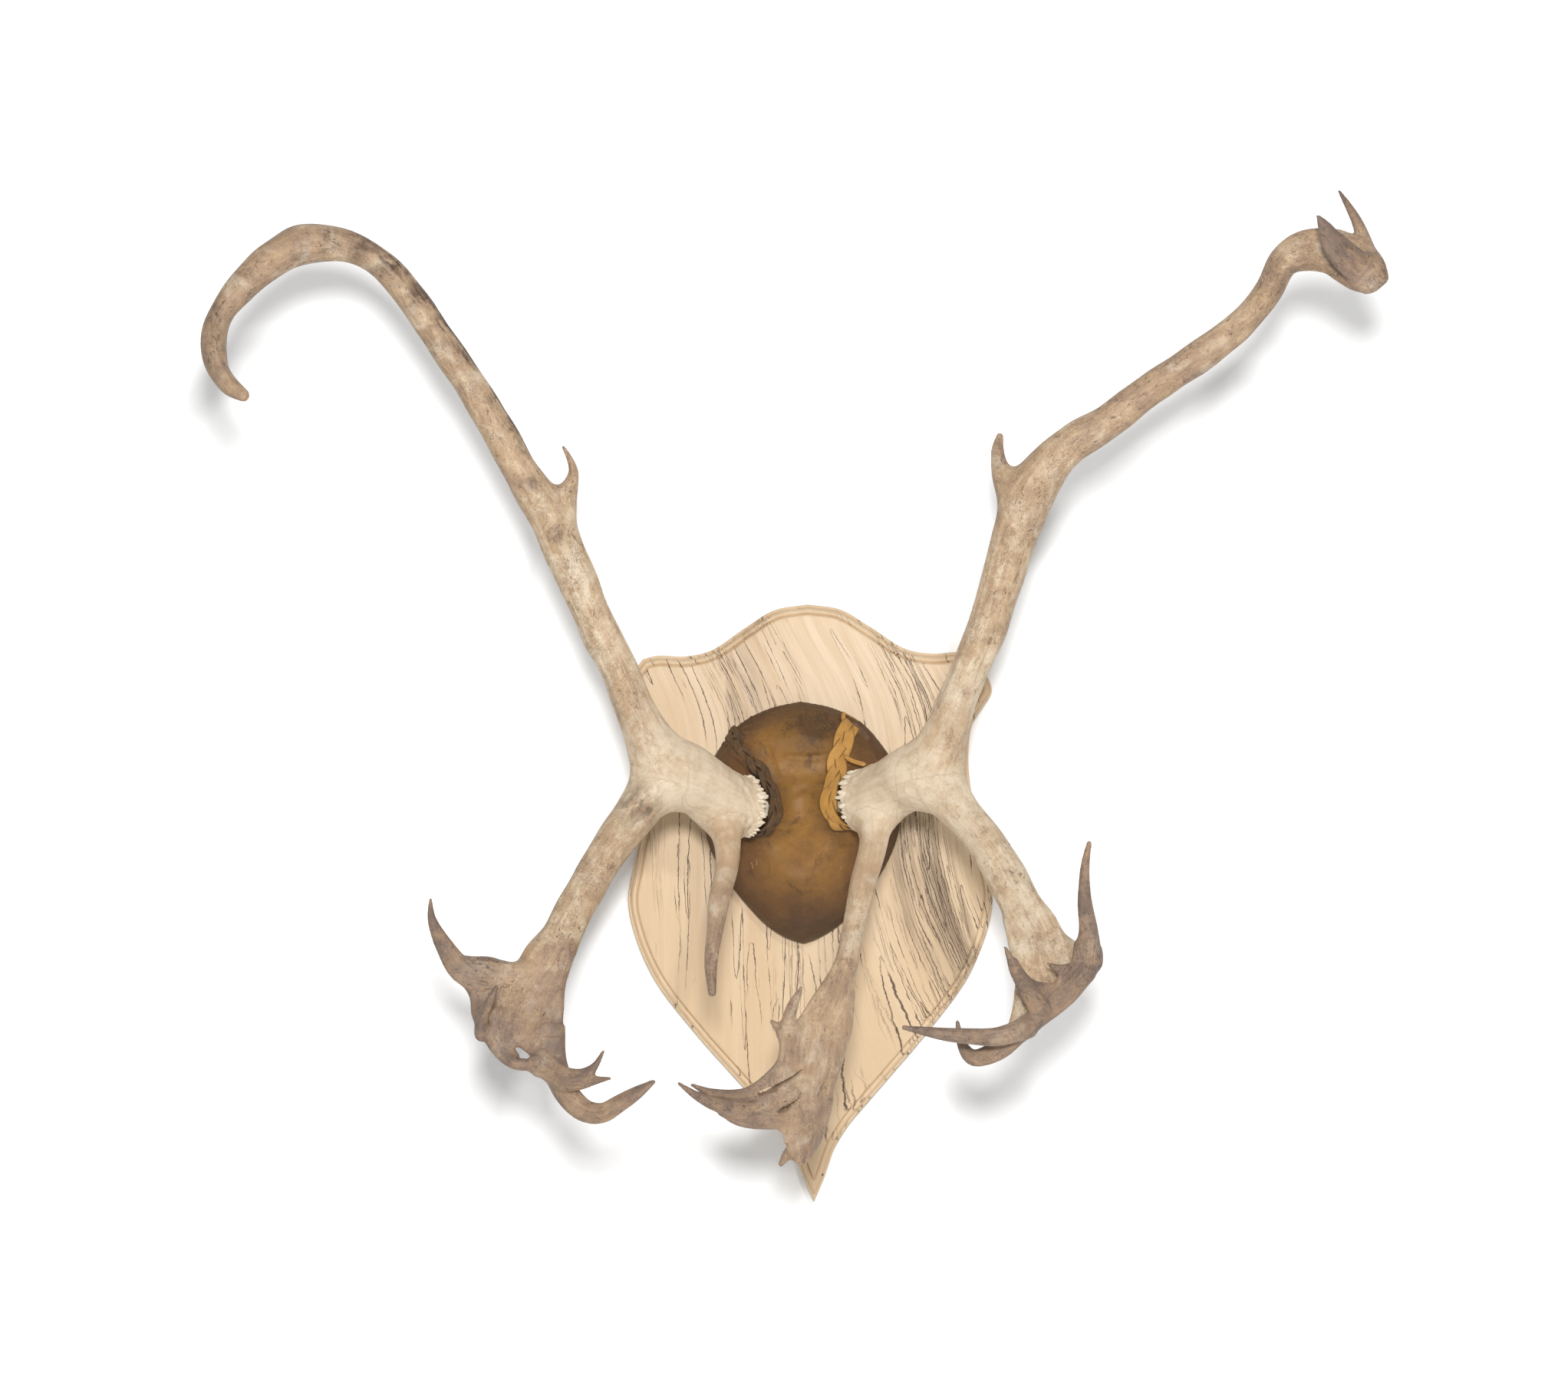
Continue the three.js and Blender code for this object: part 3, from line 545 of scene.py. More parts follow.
rightAntler = {
    "cellShare": 1.085,  # keeps this skin under 200,000 triangles
    "foot": (42, -96, 94),
    "side": 1,
    "limbs": {
        "beam": limbFrom((0.0, 0.6), 0, """
            42 -96 94 25, 57 -108 101 24, 80 -127 111 26 24, 103 -145 124 26 22, 117 -156 152 20,
            128 -163 184 16, 138 -168 208 16, 153 -174 242 17, 172 -184 304 18.5, 181 -189 336 20,
            193 -195 364 21, 210 -200 386 18, 228 -204 402 16.5, 256 -209 419 15, 286 -214 441 15,
            316 -220 461 14, 344 -228 480 13.6, 370 -237 500 12, 390 -248 525 12, 402 -261 548 13.4,
            418 -274 555 17 11, 438 -287 552 19 8, 453 -297 541 20 8, 463 -305 531 18 8, 469 -311 523 13 7
        """),
        "rear point": limbFrom((0.45, 0.6), 12, """
            182 -193 350 16 12, 170 -191 370 10.5, 165 -189 386 7, 164 -187 398 5.6, 166 -186 409 3.4
        """),
        "crown, front point": limbFrom((0.85, 1.05), 6, """
            461 -306 533 13 6, 444 -318 543 13 5.5, 431 -327 556 9.5 5, 424 -333 567 5.5 4.4,
            418 -338 575 1.6
        """),
        "crown, rear point": limbFrom((0.8, 0.9), 6, """
            463 -303 531 11 6, 465 -294 552 7 5, 460 -287 573 5, 453 -280 590 3.4, 446 -274 604 1.6
        """),
        "bez tine and palm": limbFrom((0.04, 0.26), 20, """
            93 -138 118 22, 115 -153 102 20, 131 -168 83 17.5 15, 150 -188 59 17.5 14, 165 -210 33 17 13,
            177 -232 8 18 11, 187 -251 -15 23 8, 189 -270 -38 22 6, 181 -290 -64 17 5, 169 -308 -88 9 5
        """),
        "keel where the lip grows out of the palm": limbFrom((0.7, 0.95), 8, """
            226 -286 -46 8, 212 -297 -60 8, 197 -304 -72 8, 181 -311 -82 8, 168 -314 -91 7
        """),
        "tall outer spike": limbFrom((0.7, 1), 6, """
            227 -292 -34 12 6, 227 -306 -8 8.6 6, 223 -318 18 6, 223 -327 45 3.9, 226 -334 65 2.1
        """),
        "inner spike": limbFrom((0.8, 1), 4, """
            186 -316 -74 9 5, 173 -328 -52 7 4.5, 163 -336 -35 4, 156 -342 -19 1.6
        """),
        "long inner point": limbFrom((0.7, 0.9), 5, """
            177 -318 -86 9 5, 149 -328 -93 7.4 5.5, 118 -336 -91 6.3, 92 -342 -87 4.1, 72 -346 -83 2.1
        """),
        "curled point behind it": limbFrom((0.7, 0.9), 4, """
            172 -308 -90 8 5, 151 -301 -107 7.6 6, 131 -298 -113 6.6, 122 -300 -102 4.6, 118 -304 -83 2.1
        """),
        "brow shovel": limbFrom((0.12, 0.6), 18, """
            66 -110 98 20, 58 -119 78 16, 54 -130 58 13, 48 -150 34 11.5, 40 -174 4 10.5, 32 -195 -27 10.5,
            24 -213 -56 15 9, 13 -228 -84 26 7, -1 -240 -110 26 6, -8 -250 -136 26 5.5, -9 -256 -165 20 5.5,
            -10 -258 -187 11 5, -12 -258 -201 5 4
        """, facing=(0.64, -0.77, 0)),
        "upper edge of the shovel, first point": limbFrom((0.7, 0.8), 4, """
            -22 -256 -97 9 5, -21 -256 -83 6 4.5, -17 -253 -71 4.6, -10 -250 -57 1.6
        """),
        "upper edge of the shovel, second point": limbFrom((0.7, 0.8), 4, """
            -20 -252 -100 7 5, -29 -258 -91 4.4, -36 -264 -84 1.6
        """),
        "long upper point of the shovel": limbFrom((0.6, 1), 5, """
            -24 -262 -128 11 6, -56 -280 -145 8 5, -84 -296 -141 4.6, -102 -306 -132 1.6
        """),
        "long middle point": limbFrom((0.6, 1), 4, """
            -20 -264 -146 12 6, -50 -284 -156 8.5 5, -81 -304 -149 6, -98 -314 -140 3.8, -112 -322 -129 1.6
        """),
        "long lower point": limbFrom((0.6, 1), 4, """
            -17 -264 -163 11 6, -40 -279 -167 6.5 5, -64 -291 -165 3.4, -79 -299 -157 1.6
        """),
        "knob at the bottom": limbFrom((0.6, 0.7), 3, """
            -13 -258 -186 7 4, -24 -260 -197 4.5, -29 -262 -204 2.6
        """),
    },
    "plates": {
        "palm": {
            "tone": 0.22, "blend": 6, "on": (189, -270, -38), "slope": (-0.2, 0.8),
            "half": 4.3, "grain": (0.3, -0.95),
            "outline": rowsOf("""
                163 -2, 165 -18, 167 -31, 168 -51, 166 -70, 161 -89, 180 -82, 199 -65, 216 -50, 224 -34,
                222 -22, 216 -17, 208 -12, 201 -5, 196 5
            """),
        },
        "outer lip, in front of the palm": {
            "tone": 0.92, "blend": 5, "on": (200, -305, -55), "slope": (0.746, -0.13),
            "half": 4.2, "grain": (-0.7, -0.7),
            "outline": rowsOf("""
                217 -33, 204 -37, 191 -34, 202 -45, 199 -51, 189 -50, 179 -46, 171 -39, 165 -29, 161 -32,
                168 -51, 176 -61, 184 -72, 181 -78, 170 -83, 174 -93, 187 -85, 200 -78, 213 -65, 226 -53,
                239 -42, 241 -34, 237 -20, 217 -18
            """),
        },
        "shovel": {
            "tone": 0.6, "blend": 6, "on": (-8, -250, -136), "slope": (0.83, 0.088),
            "half": 4.2, "grain": (-0.15, -1),
            "outline": rowsOf("""
                12 -61, 7 -67, -2 -78, -12 -85, -20 -89, -26 -90, -30 -95, -29 -106, -31 -119, -35 -131,
                -36 -146, -32 -163, -29 -177, -26 -186, -23 -193, -19 -200, -11 -203, -5 -200, 3 -191,
                8 -178, 12 -170, 16 -158, 18 -142, 24 -126, 29 -106, 32 -82, 34 -64
            """),
        },
    },
    "slits": [
        rowsOf("""
            -13 -254 -126.5 12 0.8, -23.8 -262.8 -132.3 14 1.5, -37.9 -275.2 -140.4 12 1.5,
            -45 -281 -143.5 8 0.8
        """),
        rowsOf("""
            -15 -257 -146 12 0.7, -22 -263.5 -152.4 14 1.3, -29 -269.4 -156.6 12 1.1,
            -34 -273.6 -158.4 8 0.6
        """),
    ],
    "stains": rowsOf("176 -188 352 22 0.45, 395 -255 540 20 0.3, 150 -176 236 14 0.25"),
}


antlerAxis = {"outward": 0.78, "forward": 0.62, "upward": 0.08}

burrValues = {
    "collar": [(-6, 25.5), (1, 26.3), (6, 25.6), (14, 24), (22, 23.5)],  # along the antler, radius
    "radius": 26.5,
    # rows of pearls: offset round the foot, distance along the antler, size
    "rows": [(0, 2.4, 1.0), (0.5, 5.2, 0.8), (0.25, 9.0, 0.5)],
    "pearls": 38,
    "pearlHalfWidth": 1.75,
    "pearlLength": 7.5,
    "seed": 11,
}

reliefValues = {
    "groove": 0.34,  # height of the long grooves
    "lump": 0.75,  # height of the slow swellings
    "seed": 5,
}


def axisOf(side):
    return unit(np.array([side * antlerAxis["outward"], -antlerAxis["forward"], antlerAxis["upward"]]))


def axisFrame(side):
    # the antler's axis, the direction across it and the level direction
    axis = axisOf(side)
    level = unit(np.array([0.0, 0.0, 1.0]) - axis * axis[2])
    return axis, np.cross(level, axis), level


def waves(places, seed, shortest, longest, count, stretch=(1, 1, 1)):
    # a smooth uneven height made of sine waves in many directions, about -1 to 1
    rng = np.random.default_rng(seed)
    total = np.zeros(len(places))
    for _ in range(count):
        direction = unit(rng.normal(size=3)) * np.asarray(stretch)
        length = rng.uniform(shortest, longest)
        total += np.sin(places @ direction * (2 * math.pi / length) + rng.uniform(0, 2 * math.pi))
    return total / math.sqrt(count)


def nearestOnLimbs(points, limbs, plates):
    # for each point: its place along and across the nearest limb, and how clear the choice is
    best = np.full(len(points), 1e9)
    second = np.full(len(points), 1e9)
    otherTone = np.zeros(len(points))
    grain = np.zeros((len(points), 3))
    size = np.zeros(len(points))
    tone = np.zeros(len(points))
    chunkSize = 4000
    apart, plateStart = 300, 5000  # each limb and plate reads its own stretch of the grain noise

    def compare(chosen, score, local, width, ownTone):
        # keeps the nearest limb so far for each chosen point, and the tone of the one after it
        better = score < best[chosen]
        runnerUp = ~better & (score < second[chosen])
        otherTone[chosen[runnerUp]] = ownTone[runnerUp]
        second[chosen[runnerUp]] = score[runnerUp]
        won = chosen[better]
        second[won], otherTone[won] = best[won], tone[won]
        best[won], tone[won] = score[better], ownTone[better]
        grain[won], size[won] = local[better], width[better]

    for number, limb in enumerate(limbs):
        centre = limb["centre"]
        reach = limb["wide"].max() + 26
        close = np.all((points > centre.min(0) - reach) & (points < centre.max(0) + reach), axis=1)
        at = np.flatnonzero(close)
        for start in range(0, len(at), chunkSize):
            chunk = at[start : start + chunkSize]
            away = points[chunk][:, None, :] - centre[None, :, :]
            u = np.einsum("nsk,sk->ns", away, limb["across"])
            v = np.einsum("nsk,sk->ns", away, limb["flat"])
            w = np.einsum("nsk,sk->ns", away, limb["tangent"])
            wide, thick = limb["wide"], limb["thick"]
            gap = np.sqrt((u / wide) ** 2 + (v / thick) ** 2 + (w / thick) ** 2)
            nearest = gap.argmin(1)
            rows = np.arange(len(chunk))
            score = (gap[rows, nearest] - 1) * thick[nearest]
            share = limb["arc"][nearest] / limb["arc"][-1]
            along = limb["arc"][nearest] + w[rows, nearest]
            local = np.stack([u[rows, nearest], v[rows, nearest], along + apart * number], axis=1)
            ownTone = limb["tone"][0] + (limb["tone"][1] - limb["tone"][0]) * share**0.8
            compare(chunk, score, local, ((wide + thick) / 2)[nearest], ownTone)
    for number, plate in enumerate(plates):
        x, y, z = points.T
        outline = closedSpline(plate["outline"])
        (left, bottom), (right, top) = outline.min(0) - 9, outline.max(0) + 9
        close = (x > left) & (x < right) & (z > bottom) & (z < top)
        at = np.flatnonzero(close)
        score, over = plateDistance(plate, x[at], y[at], z[at], outlineDistance(outline, x[at], z[at]))
        east, up = plate["grain"]
        fromX, fromZ = x[at] - plate["on"][0], z[at] - plate["on"][2]
        along = fromX * east + fromZ * up + plateStart + apart * number
        local = np.stack([fromX * up - fromZ * east, over, along], axis=1)
        compare(at, score - 2, local, np.full(len(at), 9.0), np.full(len(at), float(plate["tone"])))
    clear = smoothStep(0, 9, second - best)
    tone = tone + (otherTone - tone) * 0.5 * (1 - clear)
    return grain, size, tone, clear


def lump(centre, axes, seed):
    # one small closed knob of bone: a squashed ball with an uneven skin
    rings, sides = 8, 12
    rows = [[0, 0, -1.0]]
    for i in range(1, rings):
        lift = math.pi * (i / rings - 0.5)
        for j in range(sides):
            turn = 2 * math.pi * j / sides
            rows.append([math.cos(lift) * math.cos(turn), math.cos(lift) * math.sin(turn), math.sin(lift)])
    rows.append([0, 0, 1.0])
    ball = np.array(rows)
    ball *= (1 + 0.17 * waves(ball * 2, seed, 1.5, 3.5, 5))[:, None]
    faces = []
    for j in range(sides):
        k = (j + 1) % sides
        faces.append([0, 1 + k, 1 + j])
        top = 1 + (rings - 2) * sides
        faces.append([len(rows) - 1, top + j, top + k])
        for i in range(rings - 2):
            a, b = 1 + i * sides, 1 + (i + 1) * sides
            faces.append([a + j, a + k, b + k, b + j])
    return centre + ball @ axes, faces


def burrPearls(antler):
    # knobs of bone round the foot of the antler
    rng = np.random.default_rng(burrValues["seed"] + antler["side"])
    axis, across, level = axisFrame(antler["side"])
    foot = np.array(antler["foot"], float)
    points, faces, total = [], [], 0
    for row, (offset, lift, size) in enumerate(burrValues["rows"]):
        for j in range(burrValues["pearls"]):
            turn = 2 * math.pi * (j + offset + rng.uniform(-0.25, 0.25)) / burrValues["pearls"]
            out = across * math.cos(turn) + level * math.sin(turn)
            around = np.cross(axis, out)
            scale = size * rng.uniform(0.6, 1.4)
            reach = burrValues["radius"] - 1.1 * row - 0.7 + rng.uniform(-0.8, 0.8)
            centre = foot + axis * (lift + rng.uniform(-0.8, 0.8)) + out * reach
            half = burrValues["pearlHalfWidth"] * scale
            length = burrValues["pearlLength"] / 2 * scale * rng.uniform(0.8, 1.25)
            lean = unit(axis - out * 0.25 + around * rng.uniform(-0.2, 0.2))
            side = unit(np.cross(lean, out))
            axes = np.stack([side * half, np.cross(side, lean) * half * 1.15, lean * length])
            knob, quads = lump(centre, axes, int(rng.integers(1e6)))
            points.append(knob)
            faces.extend([[i + total for i in quad] for quad in quads])
            total += len(knob)
    return np.concatenate(points), faces


def antlerSkin(antler):
    plates = list(antler["plates"].values())
    limbs = []
    for name, entry in antler["limbs"].items():
        step = 4.0 if name == "beam" else 3.0
        limbs.append(limbOf(entry["stations"], entry["facing"], step, entry["tone"]))
    blends = [entry["blend"] for entry in antler["limbs"].values()]
    everything = np.concatenate([limb["centre"] for limb in limbs])
    margin, cell = skinValues["margin"], skinValues["cell"] * antler["cellShare"]
    field = newField(everything.min(0) - margin, everything.max(0) + margin, cell)
    axis = axisOf(antler["side"])
    foot = np.array(antler["foot"], float)
    collar = [[*(foot + axis * lift), half] for lift, half in burrValues["collar"]]
    addLimb(field, limbs[0], 0)
    addLimb(field, limbOf(collar), 3)
    for limb, blend in zip(limbs[1:], blends[1:]):
        addLimb(field, limb, blend)
    for plate in plates:
        addPlate(field, plate)
    for stations in antler["slits"]:
        cutSlit(field, stations)
    # the foot ends in a flat face, cut square to the antler's axis
    footReach = 60
    cut, x, y, z = window(field, foot - footReach, foot + footReach)
    behind = (x - foot[0]) * axis[0] + (y - foot[1]) * axis[1] + (z - foot[2]) * axis[2]
    near = (x - foot[0]) ** 2 + (y - foot[1]) ** 2 + (z - foot[2]) ** 2 < (footReach - 2) ** 2
    field["values"][cut] = np.where(near, np.maximum(field["values"][cut], -behind), field["values"][cut])
    points, quads = skinOf(field)
    points = relaxed(points, quads)
    grain, size, tone, clear = nearestOnLimbs(points, limbs, plates)
    normals = vertexNormals(points, quads)
    away = np.linalg.norm(points - foot, axis=1)
    offFoot = smoothStep(3, 9, (points - foot) @ axis + np.where(away > footReach, 99, 0))
    thin = smoothStep(2.5, 11, size)
    groove = waves(grain, reliefValues["seed"], 8, 15, 12, (1, 1, 0.07))
    fine = waves(grain, reliefValues["seed"] + 1, 5, 8, 8, (1, 1, 0.12))
    slow = waves(points, reliefValues["seed"] + 2, 35, 90, 9)
    knobs = waves(points, reliefValues["seed"] + 3, 6, 11, 12) * (1 - smoothStep(20, 60, away))
    height = groove * reliefValues["groove"] * thin * clear + fine * 0.12 * thin * clear
    height = height + slow * reliefValues["lump"] * (0.25 + 0.75 * thin) + knobs * 0.5
    points = points + normals * (height * offFoot)[:, None]
    stain = np.zeros(len(points))
    for *centre, radius, strength in antler["stains"]:
        reach = np.linalg.norm(points - centre, axis=1) / radius
        stain = np.maximum(stain, strength * (1 - smoothStep(0.3, 1.3, reach)))
    attributes = {
        "grain": grain * mm,
        "tone": tone,
        "clear": clear,
        "groove": np.clip(0.5 + 0.28 * (groove + 0.4 * fine), 0, 1),
        "base": 1 - smoothStep(8, 210, away),
        "stain": stain,
    }
    return points, quads, attributes


def antlerPiece(name, antler, material, replaced):
    points, quads, attributes = antlerSkin(antler)
    pearls, knobFaces = burrPearls(antler)
    faces = quads.tolist() + [[i + len(points) for i in face] for face in knobFaces]
    foot = np.array(antler["foot"], float)
    extra = {
        "grain": (pearls - foot) * mm,
        "tone": np.zeros(len(pearls)),
        "clear": np.ones(len(pearls)),
        "groove": np.full(len(pearls), 0.75),
        "base": np.full(len(pearls), 1.25),
        "stain": np.zeros(len(pearls)),
    }
    joined = {key: np.concatenate([values, extra[key]]) for key, values in attributes.items()}
    newPiece(name, np.concatenate([points, pearls]), faces, material, replaced, joined)
    print(name, "made,", len(faces), "faces")


antlerLooks = {
    "pale": (0.62, 0.51, 0.37),
    "tan": (0.44, 0.305, 0.185),
    "brown": (0.3, 0.2, 0.13),
    "tip": (0.17, 0.118, 0.09),
    "deep": (0.075, 0.045, 0.028),  # cracks, pits and specks
    "ochre": (0.36, 0.235, 0.12),
    "bloom": (0.63, 0.545, 0.42),  # chalky grey patches
    "burr": (0.68, 0.6, 0.47),
    "stain": (0.08, 0.047, 0.03),
}


def antlerMaterial():
    material = newMaterial("antlerBone")
    looks = antlerLooks
    grain = pieceValue("grain", "Vector")
    place = objectCoords()
    tone, stain, base = (pieceValue(key) for key in ("tone", "stain", "base"))
    groove, clear = pieceValue("groove"), pieceValue("clear")
    aged = fit(base, 0.05, 0.7, 1.0, 0.12)  # the foot of the antler is cleaner than the rest
    streak = noiseOf(scaled(grain, (1, 1, 0.09)), 210, 5, 0.62, 0.4)
    fibre = noiseOf(scaled(grain, (1, 1, 0.1)), 800, 4, 0.65)
    cloud = noiseOf(place, 17, 4, 0.6)
    patch = noiseOf(place, 60, 6, 0.68, 0.5)
    speck = noiseOf(place, 640, 4, 0.72)

    uneven = plus(
        ranged(cloud, -0.2, 0.2),
        ranged(patch, -0.2, 0.24),
        fit(streak, 0.28, 0.72, 0.2, -0.2),
        ranged(speck, -0.14, 0.14),
    )
    mottled = plus(tone, times(uneven, fit(aged, 0.1, 1.0, 0.45, 1.0)))
    stops = [(0.0, looks["pale"]), (0.34, looks["tan"]), (0.68, looks["brown"]), (1.0, looks["tip"])]
    colour = rampOf(mottled, stops)
    bloom = times(fit(noiseOf(place, 42, 5, 0.6, 0.6), 0.52, 0.68), 0.5)
    colour = blendColour(times(bloom, fit(tone, 0.9, 0.5)), colour, looks["bloom"])
    ochreNoise = noiseOf(scaled(place, (1, 1, 1), shift=(0.7, 0.2, 0.1)), 30, 5, 0.65, 0.6)
    ochre = fit(ochreNoise, 0.52, 0.7, 0.0, 0.42)
    colour = blendColour(times(ochre, fit(base, 0.2, 0.8, 1.0, 0.4)), colour, looks["ochre"])

    low = times(fit(groove, 0.5, 0.1, 0.0, 0.5), aged)
    colour = blendColour(times(low, fit(fibre, 0.35, 0.6)), colour, looks["brown"])
    flow = contours(noiseOf(scaled(place, (1, 1, 0.6)), 21, 3, 0.5, 1.1), 0.045, 0.28)
    colour = blendColour(times(flow, fit(base, 0.2, 0.6)), colour, looks["ochre"])
    thread = fit(fibre, 0.56, 0.72, 0.0, 0.45)
    colour = blendColour(times(thread, aged), colour, looks["brown"])
    vein = contours(noiseOf(scaled(grain, (1, 1, 0.3)), 90, 4, 0.6, 1.0), 0.014, 1.0)
    veinShare = times(vein, fit(patch, 0.42, 0.58, 0.0, 0.8), clear, aged)
    crumb = noiseOf(scaled(grain, (1, 1, 0.4)), 430, 3, 0.6, 0.4)
    crumbShare = times(fit(crumb, 0.6, 0.7), fit(noiseOf(place, 38, 4, 0.6), 0.42, 0.58, 0.05, 0.9))
    crumbShare = times(crumbShare, times(aged, fit(tone, 0.15, 0.5, 0.45, 1.0)))
    colour = blendColour(larger(veinShare, crumbShare), colour, looks["deep"])
    craze = contours(noiseOf(place, 150, 6, 0.72, 0.8), 0.022, 0.7)
    craze = times(craze, fit(noiseOf(place, 26, 4, 0.6), 0.44, 0.58))
    colour = blendColour(times(craze, aged), colour, looks["deep"])

    stained = times(stain, fit(plus(streak, patch), 0.86, 1.14, 0.0, 1.5), clamp=True)
    colour = blendColour(stained, colour, looks["stain"])
    white = times(fit(base, 1.0, 1.2), fit(patch, 0.35, 0.65, 0.9, 0.45))
    colour = blendColour(white, colour, looks["burr"])
    # painted shade: the foot's end face, in the gap between the burr and the leather collar, is darkened to
    # brown
    gap = times(fit(base, 0.985, 1.0), fit(base, 1.1, 1.0))
    colour = blendColour(times(gap, fit(patch, 0.4, 0.65, 0.0, 0.5)), colour, looks["brown"])

    height = plus(times(streak, 0.5), times(fibre, 0.3))
    height = minus(height, times(larger(crumbShare, veinShare), 0.6))
    normal = bumpOf(height, 0.55, 0.0012)
    normal = bumpOf(speck, 0.25, 0.0004, normal)
    rough = ranged(streak, 0.5, 0.68)
    shaderOf(colour, rough, normal, specular=0.4)
    return material


bone = antlerMaterial()
antlerPiece("leftAntler", leftAntler, bone, ["left_beam", "left_bez_palm", "left_brow_tine"])
antlerPiece("rightAntler", rightAntler, bone, ["right_beam", "right_bez_palm", "right_brow_shovel"])

# Half of the outline, as smooth stretches that meet at corners: [x, z].
shieldValues = {
    "stretches": [
        [[0, 271], [30, 266], [57, 250], [88, 230], [112, 225], [136, 226], [150, 223]],
        [[150, 223], [162, 206], [167, 190], [160, 178]],
        [
            [160, 178], [149, 160], [145, 130], [148, 95], [160, 38], [166, 5], [161, -25],
            [143, -68], [105, -119], [72, -157], [34, -200],
        ],
        [[34, -200], [20, -222], [10, -249], [0, -272]],
    ],
    "spacing": 1.3,
    # the routed edge from the back round to the face: distance in from the outline, depth from the wall
    "edge": [
        (1.2, 0), (0.3, 0.4), (0, 1.3), (0, 10.9), (0.2, 12.0), (0.8, 12.8), (1.7, 13.0), (2.3, 12.7),
        (2.7, 12.9), (3.0, 14.0), (3.4, 15.6), (4.2, 17.0), (5.4, 17.9), (6.7, 18.0), (7.7, 17.5), (8.3, 16.9),
        (8.7, 17.3),
        (8.9, 18.6), (9.0, 20.3), (9.3, 21.3), (9.9, 21.8), (11.0, 22.0),
    ],
    "wormHoles": [(8, -247.5), (18.6, -240.5), (-31, 60)],
}

hangerValues = {
    "z": 205, "width": 18, "height": 46, "thickness": 1.8, "sunk": 0.4, "corner": 4,
    "entryRadius": 5.2, "entryZ": -7, "slotWidth": 5, "slotTop": 9,
    "screwZ": 18, "screwHole": 3.7, "pocket": (14, 10, 30), "gap": 0.3,
}

# head and shank are radii; places are x and z
screwValues = {
    "skull": {
        "places": {"top": (-7, 150), "left": (-35, 52), "right": (21, 52)},
        "head": 4.6, "headLength": 3, "shank": 2.2, "length": 44, "sunk": 1,
    },
    "hanger": {
        "places": {"upper": (0, 223), "lower": (0, 187)},
        "head": 3.4, "headLength": 1.8, "shank": 1.5, "length": 14, "sunk": 0.4,
    },
}


def shieldOutline():
    right = []
    for stretch in shieldValues["stretches"]:
        fine = splineAt(stretch, np.linspace(0, len(stretch) - 1, 400), 2)
        length = lengthAlong(fine)
        count = int(length[-1] / shieldValues["spacing"]) + 1
        even = np.linspace(0, length[-1], count)
        right.append(np.stack([np.interp(even, length, fine[:, i]) for i in range(2)], axis=1)[:-1])
    right.append(np.array([shieldValues["stretches"][-1][-1]], float))
    right = np.concatenate(right)
    return np.concatenate([right, right[-2:0:-1] * [-1, 1]])


def insetRing(outline, distance):
    # moves a clockwise outline inwards; points that would cross over meet on the corner's mitre
    after, before = np.roll(outline, -1, 0), np.roll(outline, 1, 0)
    turned = lambda v: unit(np.stack([v[:, 1], -v[:, 0]], axis=1))
    first, second = turned(outline - before), turned(after - outline)
    mitre = (first + second) / np.maximum(1 + (first * second).sum(1), 0.35)[:, None]
    moved = outline + mitre * distance
    if distance <= 0:
        return moved
    edge = after - outline
    good = np.ones(len(moved), bool)
    for i, point in enumerate(moved):
        t = np.clip(((point - outline) * edge).sum(1) / (edge * edge).sum(1), 0, 1)
        nearest = np.linalg.norm(outline + edge * t[:, None] - point, axis=1).min()
        good[i] = nearest > distance - 0.002
    at = np.flatnonzero(good)
    for i in np.flatnonzero(~good):
        lower = at[at < i][-1] if (at < i).any() else at[-1]
        upper = at[at > i][0] if (at > i).any() else at[0]
        moved[i] = (moved[lower] + moved[upper]) / 2
    return moved


def meshFrom(build):
    # runs a bmesh builder and returns the mesh
    mesh = bpy.data.meshes.new("shape")
    shape = bmesh.new()
    build(shape)
    shape.normal_update()
    shape.to_mesh(mesh)
    shape.free()
    return mesh


def lathe(shape, profile, start, axis, sides=48):
    # a round solid from (distance along, radius) pairs
    axis = Vector(axis).normalized()
    across = axis.orthogonal().normalized()
    level = axis.cross(across)
    rings = []
    for distance, radius in profile:
        ring = []
        for j in range(sides):
            turn = 2 * math.pi * j / sides
            out = across * math.cos(turn) + level * math.sin(turn)
            ring.append(shape.verts.new((Vector(start) + axis * distance + out * radius) * mm))
        rings.append(ring)
    for low, high in zip(rings, rings[1:]):
        for j in range(sides):
            k = (j + 1) % sides
            shape.faces.new((low[j], low[k], high[k], high[j])).smooth = True
    shape.faces.new(rings[0][::-1])
    shape.faces.new(rings[-1])


def cutterBox(shape, low, high):
    corners = [Vector(corner) * mm for corner in itertools.product(*zip(low, high))]
    points = [shape.verts.new(corner) for corner in corners]
    for face in ((0, 1, 3, 2), (4, 6, 7, 5), (0, 4, 5, 1), (2, 3, 7, 6), (0, 2, 6, 4), (1, 5, 7, 3)):
        shape.faces.new([points[i] for i in face])


def carved(mesh, cutters):
    # cuts the given shapes out of a mesh, one after another
    body = addObject("carving", mesh)
    tools = []
    for cutterMesh in cutters:
        tool = addObject("cutter", cutterMesh)
        modifier = body.modifiers.new("cut", "BOOLEAN")
        modifier.operation, modifier.solver, modifier.object = "DIFFERENCE", "EXACT", tool
        tools.append(tool)
    bpy.context.view_layer.update()
    result = bpy.data.meshes.new_from_object(body.evaluated_get(bpy.context.evaluated_depsgraph_get()))
    for item in [body, *tools]:
        bpy.data.objects.remove(item)
    return result


screwThread = [(0.5, 1), (0.9, 0.76), (1.5, 0.76), (1.9, 1)]  # one turn: distance along, share of the radius


